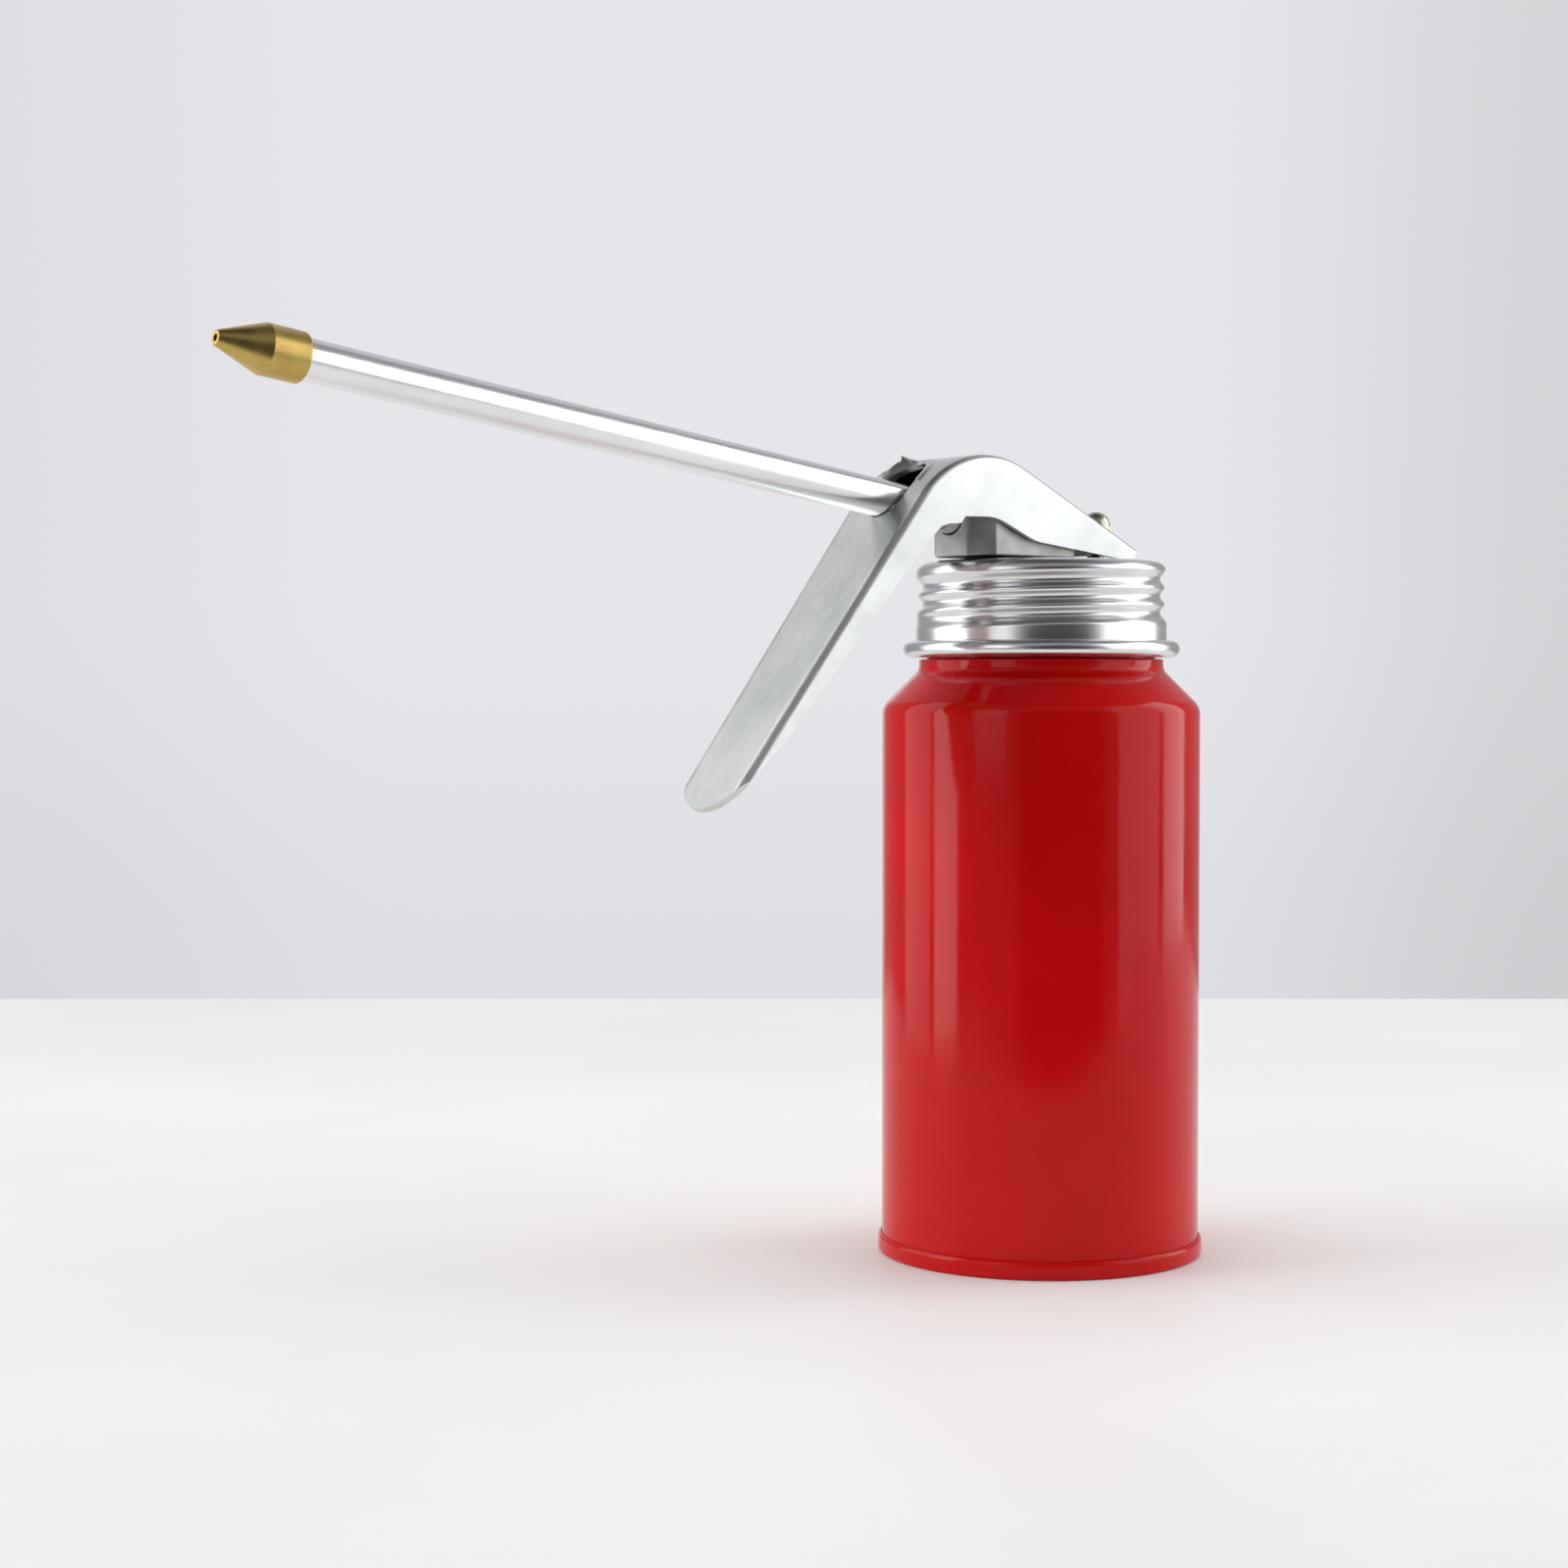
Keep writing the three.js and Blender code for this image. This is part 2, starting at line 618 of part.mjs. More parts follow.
// A shape across the spout: x is up in the side view, y is across the lever
function acrossSpout(shape) {
  const geometry = new THREE.ExtrudeGeometry(shape, {
    depth: slotDepth,
    bevelEnabled: false,
    curveSegments: 10,
  });
  return inSpoutFrame(solid(geometry));
}

const slotShape = new THREE.Shape();
slotShape.absarc(slotHighZ, 0, slotR, -Math.PI / 2, Math.PI / 2, false);
slotShape.absarc(slotLowZ, 0, slotR, Math.PI / 2, 1.5 * Math.PI, false);
const slot = acrossSpout(slotShape);
const lipShape = new THREE.Shape();
lipShape.absarc(slotHighZ, 0, slotR + SLOT_LIP_T, -Math.PI / 2, Math.PI / 2, false);
const lipBand = plate(
  [
    ...[0, 1, 2, 3, 4, 5].map((i) => {
      const a = -LEVER_FRONT_SLOPE * (1 - i / 6);
      const r = LEVER_APEX_R + SLOT_LIP_H;
      return [apexCentre.x + r * Math.sin(a), apexCentre.z + r * Math.cos(a)];
    }),
    [apexCentre.x, leverApexZ - LEVER_SHEET],
    ...[5, 4, 3, 2, 1, 0].map((i) => {
      const a = -LEVER_FRONT_SLOPE * (1 - i / 6);
      const r = LEVER_APEX_R - LEVER_SHEET * 0.7;
      return [apexCentre.x + r * Math.sin(a), apexCentre.z + r * Math.cos(a)];
    }),
  ],
  LEVER_W,
);
const notch = disc(STUD_D + 2 * TUBE_GAP, heelZ - 5, leverApexZ)
  .add(
    plate(
      [
        [0, heelZ - 5],
        [10, heelZ - 5],
        [10, leverApexZ],
        [0, leverApexZ],
      ],
      STUD_D + 2 * TUBE_GAP,
    ),
  )
  .translate(STUD_X, 0, 0);
const lever = solid(channel)
  .intersect(plate(edge, LEVER_W + 4))
  .intersect(solid(tipBlank))
  .add(acrossSpout(lipShape).intersect(lipBand))
  .subtract(slot)
  .subtract(notch);
add(assembly, "lever", lever, "zincPlate");

// Plunger: its domed end stands just under the web of the lever
const webOverPump = onBack((PUMP_X - backBend.x) / backAlong.x, -LEVER_SHEET);
webOverPump.z -= ((PUMP_X - webOverPump.x) * backNormal.x) / backNormal.z;
const domeCentreZ = webOverPump.z - (PLUNGER_DOME_R + TOUCH) / backNormal.z;
const plungerR = PLUNGER_D / 2;
const domeEdge = THREE.MathUtils.radToDeg(Math.acos(plungerR / PLUNGER_DOME_R));
const plunger = turned(
  [
    [0, plungerFootZ - PLUNGER_SPIGOT_L],
    [PLUNGER_SPIGOT_D / 2 - 0.4, plungerFootZ - PLUNGER_SPIGOT_L],
    [PLUNGER_SPIGOT_D / 2, plungerFootZ - PLUNGER_SPIGOT_L + 0.4],
    [PLUNGER_SPIGOT_D / 2, plungerFootZ + 0.5],
    [plungerR, plungerFootZ + 0.5],
    ...arc(0, domeCentreZ, PLUNGER_DOME_R, domeEdge, 90, 4),
  ],
  TURNED_SIDES,
).add(
  hexagon(
    ((CHAMBER_D - 2 * SLIDE_GAP) * Math.sqrt(3)) / 2,
    plungerFootZ,
    plungerFootZ + PLUNGER_FOOT_T,
  ),
);
add(pump, "plunger", plunger, "steel");

// Inlet seat screwed into the stem, with the ball on its port and the dip tube on its spigot
const seatTopZ = stemFootZ + INLET_SEAT_L - TOUCH;
const portR = INLET_PORT_D / 2;
const flangeZ = stemFootZ - INLET_FLANGE_T;
const spigotFootZ = flangeZ - DIP_SPIGOT_L;
const spigotD = DIP_TUBE_BORE_D - 2 * TOUCH;
const dipTubeFootZ = panelZ + SEAM_SHEET + DIP_TUBE_CLEAR;
const inletSeat = disc(INLET_SEAT_D, stemFootZ - 0.5, seatTopZ)
  .add(hexagon(INLET_FLANGE_AF, flangeZ, stemFootZ))
  .add(disc(spigotD, spigotFootZ, flangeZ + 0.5))
  .subtract(disc(INLET_PORT_D - 1, spigotFootZ - 1, seatTopZ))
  .subtract(disc(INLET_PORT_D, seatTopZ - 1.2, seatTopZ + 1));
add(pump, "inlet_seat", inletSeat, "brass");
const inletBallR = INLET_BALL_D / 2;
const inletBallZ = seatTopZ + Math.sqrt(inletBallR ** 2 - portR ** 2) + TOUCH;
add(
  pump,
  "inlet_ball",
  solid(new THREE.SphereGeometry(inletBallR, SMALL_SIDES, 10).translate(0, 0, inletBallZ)),
  "steel",
);
add(pump, "dip_tube", ring(DIP_TUBE_D, DIP_TUBE_BORE_D, dipTubeFootZ, flangeZ), "polymer");

// Return spring between the inlet seat and the foot of the plunger
const springLow = seatTopZ + SPRING_WIRE_D / 2 + TOUCH;
const springHigh = plungerFootZ - SPRING_WIRE_D / 2 - TOUCH;
const springPitch = (springHigh - springLow) / SPRING_CURLS;
const springPath = new Helix((SPRING_D - SPRING_WIRE_D) / 2, springPitch, SPRING_CURLS, springLow);
add(
  pump,
  "return_spring",
  roundBar(springPath, SPRING_WIRE_D / 2, SPRING_CURLS * SPRING_STEPS, SPRING_SIDES),
  "steel",
);
let leastSpringGap = Infinity;
for (let i = 0; i <= 360; i += 1) {
  for (let j = i + 36; j <= 360; j += 1) {
    const gap = springPath.getPoint(i / 360).distanceTo(springPath.getPoint(j / 360)) - SPRING_WIRE_D;
    leastSpringGap = Math.min(leastSpringGap, gap);
  }
}
console.log(`return spring: least gap to itself ${leastSpringGap.toFixed(2)} mm`);

// Spout tube, the outlet ball in its root, and the nozzle on its end
const tipEnd = SPOUT_L;
const coneFoot = tipEnd - NOZZLE_CONE_L;
const nozzleFoot = coneFoot - NOZZLE_BODY_L;
const tubeEnd = nozzleFoot + NOZZLE_GRIP_L;
const tubeFoot = -SOCKET_L + TOUCH;
add(spout, "spout_tube", ring(SPOUT_D, SPOUT_BORE_D, tubeFoot, tubeEnd), "nickelPlate");
const nozzleR = NOZZLE_D / 2;
const gripR = SPOUT_D / 2 + TOUCH;
const nozzle = turned(
  [
    [gripR, nozzleFoot],
    [nozzleR - NOZZLE_CHAMFER, nozzleFoot],
    [nozzleR, nozzleFoot + NOZZLE_CHAMFER],
    [nozzleR, coneFoot - 0.3],
    [nozzleR - 0.15, coneFoot],
    [NOZZLE_TIP_D / 2, tipEnd],
    [NOZZLE_HOLE_D / 2, tipEnd],
    [NOZZLE_HOLE_D / 2, tipEnd - 3],
    [SPOUT_BORE_D / 2, tubeEnd + 1],
    [SPOUT_BORE_D / 2, tubeEnd + TOUCH],
    [gripR, tubeEnd + TOUCH],
    [gripR, nozzleFoot],
  ],
  TURNED_SIDES,
);
add(spout, "spout_nozzle", nozzle, "brass");
const outletBallR = OUTLET_BALL_D / 2;
const outletBallZ = -SOCKET_L + Math.sqrt(outletBallR ** 2 - (OUTLET_PORT_D / 2) ** 2) + 0.2;
add(
  spout,
  "outlet_ball",
  solid(new THREE.SphereGeometry(outletBallR, SMALL_SIDES, 10).translate(0, 0, outletBallZ)),
  "steel",
);
const stopZ = outletBallZ + outletBallR + OUTLET_LIFT + TOUCH;
add(
  spout,
  "ball_stop",
  ring(SPOUT_BORE_D - 2 * TOUCH, BALL_STOP_BORE_D, stopZ, stopZ + BALL_STOP_L),
  "brass",
);

// Fulcrum stud with its dome nut above the lever and its washer and nut under the cap
const stud = new THREE.Group();
stud.position.x = STUD_X;
assembly.add(stud);
const studNutZ = capInnerTopZ - STUD_WASHER_T - STUD_NUT_T;
const studTopZ = domeNutTopZ - DOME_D / 2 + 0.6;
const fulcrumStud = disc(STUD_D, studNutZ - 0.8, studTopZ, SMALL_SIDES).add(
  disc(STUD_COLLAR_D, capTopZ, capTopZ + STUD_COLLAR_T, SMALL_SIDES),
);
add(stud, "fulcrum_stud", fulcrumStud, "steel");
const studClearD = STUD_D + 2 * SCREW_GAP;
const domeR = DOME_D / 2;
const domeBaseZ = domeNutTopZ - domeR;
const ballZ = domeNutFootZ + DOME_NUT_BALL_R;
const hexZ = domeNutFootZ + 1;
const domeNut = turned(
  [
    ...arc(0, ballZ, DOME_NUT_BALL_R, -90, -30, 3),
    [domeR, ballZ],
    ...arc(0, domeBaseZ, domeR, 0, 90, 4),
  ],
  TURNED_SIDES,
)
  .add(hexagon(DOME_NUT_AF, hexZ, hexZ + 1.8))
  .subtract(disc(studClearD, domeNutFootZ - 1, studTopZ + TOUCH, SMALL_SIDES));
add(stud, "dome_nut", domeNut, "brass");
const studWasherZ = capInnerTopZ - STUD_WASHER_T;
add(stud, "stud_washer", ring(STUD_WASHER_D, studClearD, studWasherZ, capInnerTopZ, SMALL_SIDES), "steel");
const studNut = hexagon(STUD_NUT_AF, studNutZ, studWasherZ).subtract(
  disc(studClearD, studNutZ - 1, studWasherZ + 1, SMALL_SIDES),
);
add(stud, "stud_nut", studNut, "zincPlate");

// The origin lies under the middle of the whole object
const nozzleReach = new THREE.Vector3(-NOZZLE_TIP_D / 2, 0, tipEnd).applyMatrix4(spout.matrix);
assembly.position.x = -(nozzleReach.x + seamR) / 2;

export default root;
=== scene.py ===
import json
import math

import bmesh
import bpy
from mathutils import Matrix, Vector


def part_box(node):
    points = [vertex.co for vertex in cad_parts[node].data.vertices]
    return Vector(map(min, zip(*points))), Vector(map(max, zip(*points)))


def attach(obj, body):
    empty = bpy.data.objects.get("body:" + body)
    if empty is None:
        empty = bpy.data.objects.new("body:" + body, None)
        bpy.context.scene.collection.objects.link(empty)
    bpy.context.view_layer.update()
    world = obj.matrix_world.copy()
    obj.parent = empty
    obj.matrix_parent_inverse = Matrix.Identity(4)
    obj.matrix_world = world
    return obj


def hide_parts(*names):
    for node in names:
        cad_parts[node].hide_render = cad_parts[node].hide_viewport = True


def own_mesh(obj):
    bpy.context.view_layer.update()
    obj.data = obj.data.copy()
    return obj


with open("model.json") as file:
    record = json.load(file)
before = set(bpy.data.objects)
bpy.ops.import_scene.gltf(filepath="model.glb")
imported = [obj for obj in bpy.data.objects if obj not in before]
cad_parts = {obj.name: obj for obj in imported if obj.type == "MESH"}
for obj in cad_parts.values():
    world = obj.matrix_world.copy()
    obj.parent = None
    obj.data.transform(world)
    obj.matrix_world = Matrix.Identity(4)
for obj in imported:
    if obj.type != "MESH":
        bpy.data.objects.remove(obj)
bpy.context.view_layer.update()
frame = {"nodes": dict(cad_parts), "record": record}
scene = bpy.context.scene
nodes = frame["nodes"]

# Lengths below are millimetres in the can's own frame: the can's axis is x = 0, the spout points to -X.
MM = 0.001
can_low, can_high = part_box("can_bottom")
CAN_X = (can_low.x + can_high.x) / 2 / MM
TAU = 2 * math.pi

# Camera at the photograph's angle
CAMERA_PLACE = (-0.26672, -0.35130, 0.09370)
CAMERA_LOOK = Vector((0.6153, 0.7875, -0.0339))
CAMERA_LENS, CAMERA_SENSOR = 66.4, 36
camera_data = bpy.data.cameras.new("camera")
camera_data.lens = CAMERA_LENS
camera_data.sensor_width = CAMERA_SENSOR
camera = bpy.data.objects.new("camera", camera_data)
camera.location = CAMERA_PLACE
camera.rotation_mode = "QUATERNION"
camera.rotation_quaternion = CAMERA_LOOK.to_track_quat("-Z", "Y")
scene.collection.objects.link(camera)
scene.camera = camera

# Looks. Most of a noise texture's values lie between the noise limits
NOISE_LOW, NOISE_HIGH = 0.3, 0.7
COLOUR_LOW, COLOUR_HIGH = 0.35, 0.65


def linear(r, g, b):
    """A display colour as linear light."""

    def one(v):
        v /= 255
        return v / 12.92 if v <= 0.04045 else ((v + 0.055) / 1.055) ** 2.4

    return (one(r), one(g), one(b), 1.0)


class Nodes:
    """A node material in the making."""

    def __init__(self, name):
        self.material = bpy.data.materials.new(name)
        self.material.use_nodes = True
        self.tree = self.material.node_tree
        self.shader = self.tree.nodes["Principled BSDF"]
        self.place = self.new("ShaderNodeTexCoord").outputs["Object"]

    def new(self, kind, **settings):
        node = self.tree.nodes.new(kind)
        for key, value in settings.items():
            setattr(node, key, value)
        return node

    def link(self, source, target):
        self.tree.links.new(source, target)

    def set(self, **values):
        for key, value in values.items():
            self.shader.inputs[key.replace("_", " ")].default_value = value
        return self

    def stretched(self, scale, turn):
        mapping = self.new("ShaderNodeMapping")
        mapping.inputs["Scale"].default_value = scale
        mapping.inputs["Rotation"].default_value = turn
        self.link(self.place, mapping.inputs["Vector"])
        return mapping.outputs["Vector"]

    def noise(self, scale, detail, where=None):
        node = self.new("ShaderNodeTexNoise")
        node.inputs["Scale"].default_value = scale
        node.inputs["Detail"].default_value = detail
        self.link(where or self.place, node.inputs["Vector"])
        return node.outputs["Fac"]

    def rings(self, axis_x):
        """A texture vector that is the same all round an upright axis."""
        shift = self.new("ShaderNodeVectorMath", operation="SUBTRACT")
        shift.inputs[1].default_value = (axis_x, 0, 0)
        self.link(self.place, shift.inputs[0])
        split = self.new("ShaderNodeSeparateXYZ")
        self.link(shift.outputs["Vector"], split.inputs["Vector"])
        squares = []
        for part in ("X", "Y"):
            square = self.new("ShaderNodeMath", operation="MULTIPLY")
            self.link(split.outputs[part], square.inputs[0])
            self.link(split.outputs[part], square.inputs[1])
            squares.append(square.outputs[0])
        total = self.new("ShaderNodeMath", operation="ADD")
        self.link(squares[0], total.inputs[0])
        self.link(squares[1], total.inputs[1])
        root = self.new("ShaderNodeMath", operation="SQRT")
        self.link(total.outputs[0], root.inputs[0])
        joined = self.new("ShaderNodeCombineXYZ")
        self.link(root.outputs[0], joined.inputs["X"])
        self.link(split.outputs["Z"], joined.inputs["Z"])
        return joined.outputs["Vector"]

    def ramp(self, value, low, high):
        node = self.new("ShaderNodeMapRange")
        node.inputs["From Min"].default_value = NOISE_LOW
        node.inputs["From Max"].default_value = NOISE_HIGH
        node.inputs["To Min"].default_value = low
        node.inputs["To Max"].default_value = high
        self.link(value, node.inputs["Value"])
        return node.outputs["Result"]

    def colours(self, value, first, second):
        node = self.new("ShaderNodeValToRGB")
        node.color_ramp.elements[0].position = COLOUR_LOW
        node.color_ramp.elements[0].color = first
        node.color_ramp.elements[1].position = COLOUR_HIGH
        node.color_ramp.elements[1].color = second
        self.link(value, node.inputs["Fac"])
        self.link(node.outputs["Color"], self.shader.inputs["Base Color"])
        return self

    def painted_shade(self, attribute, colour):
        """Paints shade: turns the colour to another, darker one on the faces that carry an attribute.
        """
        marked = self.new("ShaderNodeAttribute", attribute_name=attribute)
        mix = self.new("ShaderNodeMix", data_type="RGBA")
        base = self.shader.inputs["Base Color"]
        self.link(marked.outputs["Fac"], mix.inputs[0])
        self.link(base.links[0].from_socket, mix.inputs[6])
        mix.inputs[7].default_value = colour
        self.link(mix.outputs[2], base)
        return self

    def rough(self, value, low, high):
        self.link(self.ramp(value, low, high), self.shader.inputs["Roughness"])
        return self

    def bumps(self, *layers):
        """Each layer is a height, its strength and its depth in metres."""
        normal = None
        for value, strength, depth in layers:
            node = self.new("ShaderNodeBump")
            node.inputs["Strength"].default_value = strength
            node.inputs["Distance"].default_value = depth
            self.link(value, node.inputs["Height"])
            if normal is not None:
                self.link(normal, node.inputs["Normal"])
            normal = node.outputs["Normal"]
        self.link(normal, self.shader.inputs["Normal"])
        return self


def red_enamel():
    n = Nodes("red_enamel").set(Metallic=0.0, Specular_IOR_Level=0.2)
    n.colours(n.noise(38, 4), linear(190, 6, 6), linear(201, 8, 8))
    n.rough(n.noise(90, 3), 0.08, 0.14)
    return n.bumps((n.noise(260, 2), 0.1, 0.00012), (n.noise(55, 2), 0.12, 0.0004)).material


def cap_aluminium():
    n = Nodes("cap_aluminium").set(Metallic=1.0)
    n.colours(n.noise(45, 4), linear(218, 219, 220), linear(231, 232, 232))
    spun = n.rings(CAN_X * MM)
    n.rough(n.noise(900, 3, spun), 0.2, 0.28)
    return n.bumps((n.noise(2400, 2, spun), 0.06, 0.00003), (n.noise(120, 2), 0.04, 0.0003)).material


def zinc_plate():
    n = Nodes("zinc_plate").set(Metallic=1.0)
    n.colours(n.noise(70, 5), linear(196, 199, 199), linear(214, 216, 215))
    # Painted shade: the channel's inside round the block turns dark grey where the flanges keep the
    # light off
    n.painted_shade("inside", linear(74, 74, 71))
    grain = n.stretched((260, 1400, 260), (0, 0.9, 0))
    n.rough(n.noise(1, 3, grain), 0.3, 0.42)
    return n.bumps((n.noise(1, 2, grain), 0.12, 0.00005), (n.noise(180, 3), 0.1, 0.0002)).material


def nickel_plate():
    n = Nodes("nickel_plate").set(Metallic=1.0)
    n.colours(n.noise(60, 3), linear(222, 224, 225), linear(233, 234, 235))
    drawn = n.stretched((40, 2200, 2200), (0, 0.144, 0))
    n.rough(n.noise(1, 2, drawn), 0.18, 0.26)
    return n.bumps((n.noise(1, 2, drawn), 0.06, 0.00003), (n.noise(90, 1), 0.04, 0.0003)).material


def zinc_casting():
    n = Nodes("zinc_casting").set(Metallic=1.0)
    n.colours(n.noise(160, 5), linear(159, 159, 157), linear(187, 187, 185))
    n.rough(n.noise(420, 4), 0.44, 0.58)
    return n.bumps((n.noise(700, 3), 0.12, 0.00008), (n.noise(120, 2), 0.14, 0.0003)).material


def brass():
    n = Nodes("brass").set(Metallic=1.0)
    n.colours(n.noise(220, 4), linear(184, 154, 86), linear(204, 175, 104))
    n.rough(n.noise(500, 3), 0.26, 0.38)
    return n.bumps((n.noise(1500, 3), 0.1, 0.00004)).material


def pale_brass():
    n = Nodes("pale_brass").set(Metallic=1.0)
    n.colours(n.noise(220, 4), linear(178, 176, 156), linear(204, 202, 182))
    n.rough(n.noise(500, 3), 0.2, 0.3)
    return n.bumps((n.noise(1500, 3), 0.1, 0.00004)).material


def bright_steel():
    n = Nodes("bright_steel").set(Metallic=1.0)
    n.colours(n.noise(200, 4), linear(186, 188, 190), linear(208, 209, 211))
    n.rough(n.noise(600, 3), 0.22, 0.34)
    return n.bumps((n.noise(1800, 2), 0.08, 0.00003)).material


def nitrile():
    n = Nodes("nitrile").set(Metallic=0.0, Specular_IOR_Level=0.35)
    n.colours(n.noise(300, 4), linear(24, 24, 26), linear(38, 38, 40))
    n.rough(n.noise(260, 3), 0.6, 0.75)
    return n.bumps((n.noise(900, 3), 0.2, 0.00008)).material


def fibre():
    n = Nodes("fibre").set(Metallic=0.0, Specular_IOR_Level=0.3)
    n.colours(n.noise(900, 5), linear(62, 40, 32), linear(92, 62, 48))
    n.rough(n.noise(700, 3), 0.75, 0.9)
    return n.bumps((n.noise(1600, 4), 0.3, 0.0001)).material


def dip_polymer():
    n = Nodes("dip_polymer").set(Metallic=0.0, Transmission_Weight=0.25)
    n.colours(n.noise(120, 3), linear(222, 220, 212), linear(234, 232, 226))
    n.rough(n.noise(200, 3), 0.38, 0.5)
    return n.bumps((n.noise(500, 2), 0.1, 0.00006)).material


looks = {
    made.__name__: made()
    for made in (
        red_enamel,
        cap_aluminium,
        zinc_plate,
        nickel_plate,
        zinc_casting,
        brass,
        bright_steel,
        nitrile,
        fibre,
        dip_polymer,
    )
}
for entry in frame["record"]["subparts"]:
    held = nodes[entry["node"]]
    held.data.materials.clear()
    held.data.materials.append(looks[entry["material_slot"]])


# Mesh helpers, in millimetres. A rounding takes at most this share of a side
SIDE_SHARE = 0.49


def corner(before, at, after, radius, steps):
    """Points that round a corner of a profile, or the corner itself where it runs straight."""
    a = (before - at).normalized()
    b = (after - at).normalized()
    angle = a.angle(b)
    if radius <= 0 or abs(math.pi - angle) < 1e-3:
        return [at]
    shorter = min((before - at).length, (after - at).length)
    reach = min(radius / math.tan(angle / 2), SIDE_SHARE * shorter)
    radius = reach * math.tan(angle / 2)
    centre = at + (a + b).normalized() * (radius / math.sin(angle / 2))
    start = at + a * reach - centre
    swing = math.pi - angle
    if start.x * b.y - start.y * b.x < 0:
        swing = -swing
    return [centre + Matrix.Rotation(swing * i / steps, 2) @ start for i in range(steps + 1)]


def rounded(profile, steps, closed=True):
    """A profile of (r, z) or (r, z, corner radius) with its corners rounded."""
    points = [Vector(p[:2]) for p in profile]
    radii = [p[2] if len(p) > 2 else 0 for p in profile]
    made = []
    for i, point in enumerate(points):
        if not closed and i in (0, len(points) - 1):
            made.append(point)
            continue
        made += corner(points[i - 1], point, points[(i + 1) % len(points)], radii[i], steps)
    return made


def grid_faces(mesh, rows, close_rows, close_columns):
    """Quads between rows of vertices, each row as long as the next."""
    for i in range(len(rows) if close_rows else len(rows) - 1):
        here, there = rows[i], rows[(i + 1) % len(rows)]
        for j in range(len(here) if close_columns else len(here) - 1):
            k = (j + 1) % len(here)
            ring = [here[j], here[k], there[k], there[j]]
            ring = [v for n, v in enumerate(ring) if v not in ring[:n]]
            if len(ring) > 2:
                mesh.faces.new(ring)


def closed_strip(mesh, rows):
    """Quads between rows that are closed rings, and a face on each end."""
    grid_faces(mesh, rows, False, True)
    mesh.faces.new(rows[0])
    mesh.faces.new(rows[-1])


def circle(cx, cy, radius, sides, start=0.0, end=TAU):
    """Points round a circle, or along an arc of it with both its ends."""
    whole = abs(end - start - TAU) < 1e-9
    count = sides if whole else sides + 1
    return [
        (
            cx + radius * math.cos(start + (end - start) * i / sides),
            cy + radius * math.sin(start + (end - start) * i / sides),
        )
        for i in range(count)
    ]


def on_circle(z, radius, angles):
    """Points (r, z) at angles in degrees on a circle about a point of the axis."""
    return [
        (radius * math.cos(math.radians(a)), z + radius * math.sin(math.radians(a))) for a in angles
    ]


def thread(foot, turns, pitch, rise, root_r, crest_r):
    """Points (r, z) of a screw thread drawn as rings, from its lowest root up."""
    made = []
    for i in range(turns):
        z = foot + i * pitch
        made += [(root_r, z), (crest_r, z + rise)]
    return made


def step_up(value, low, high):
    """Smooth rise from 0 at low to 1 at high."""
    t = min(1.0, max(0.0, (value - low) / (high - low)))
    return t * t * (3 - 2 * t)


def turned(profile, sides, closed=True):
    """A mesh of a profile turned about the Z axis. An open profile starts and ends on the axis."""
    mesh = bmesh.new()
    rows = []
    for r, z in profile:
        if r < 1e-6:
            rows.append([mesh.verts.new((0, 0, z))] * sides)
        else:
            rows.append([mesh.verts.new((x, y, z)) for x, y in circle(0, 0, r, sides)])
    grid_faces(mesh, rows, closed, True)
    return mesh


def pin(radius, low, high, sides):
    """A mesh of a cylinder about the Z axis."""
    return turned([(0, low), (radius, low), (radius, high), (0, high)], sides, False)


def corner_normals(mesh, sharp):
    """A normal for each face corner, from the faces round it that meet at less than sharp degrees."""
    limit = math.cos(math.radians(sharp))
    areas = {face: face.calc_area() for face in mesh.faces}
    normals = []
    for face in mesh.faces:
        for vertex in face.verts:
            total = Vector()
            for other in vertex.link_faces:
                if other.normal.dot(face.normal) > limit:
                    total += other.normal * areas[other]
            normals.append(total.normalized() if total.length > 0 else Vector((0, 0, 1)))
    return normals


def piece(name, mesh, look, body, stands_for, place=None, sharp=35):
    """Makes an object of a bmesh in the can's frame, or under place in it, and rides it on a body."""
    mesh.normal_update()
    bmesh.ops.recalc_face_normals(mesh, faces=mesh.faces)
    data = bpy.data.meshes.new(name)
    move = Matrix.Translation((CAN_X, 0, 0)) @ (place or Matrix.Identity(4))
    bmesh.ops.transform(mesh, matrix=Matrix.Scale(MM, 4) @ move, verts=mesh.verts)
    mesh.normal_update()
    normals = corner_normals(mesh, sharp)
    mesh.to_mesh(data)
    mesh.free()
    for polygon in data.polygons:
        polygon.use_smooth = True
    data.normals_split_custom_set(normals)
    data.materials.append(looks[look])
    made = bpy.data.objects.new(name, data)
    scene.collection.objects.link(made)
    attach(made, body)
    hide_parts(*stands_for)
    return made


def solid_of(made):
    """The evaluated mesh of an object, modifiers included, as a bmesh."""
    view = bpy.context.evaluated_depsgraph_get()
    mesh = bmesh.new()
    mesh.from_mesh(made.evaluated_get(view).to_mesh())
    return mesh


def helper_object(name, mesh, place=None):
    """An object that only serves to cut or join, in the can's frame or under place in it."""
    if place is not None:
        bmesh.ops.transform(mesh, matrix=place, verts=mesh.verts)
    bmesh.ops.recalc_face_normals(mesh, faces=mesh.faces)
    data = bpy.data.meshes.new(name)
    mesh.to_mesh(data)
    mesh.free()
    made = bpy.data.objects.new(name, data)
    scene.collection.objects.link(made)
    return made


def combine(base, *steps):
    """Applies boolean steps (operation, object) to a helper object and returns the mesh."""
    for operation, tool in steps:
        boolean = base.modifiers.new("cut", "BOOLEAN")
        boolean.operation = operation
        boolean.solver = "EXACT"
        boolean.use_self = True
        boolean.object = tool
    bpy.context.view_layer.update()
    mesh = solid_of(base)
    for made in [base] + [tool for _, tool in steps]:
        bpy.data.objects.remove(made)
    return mesh


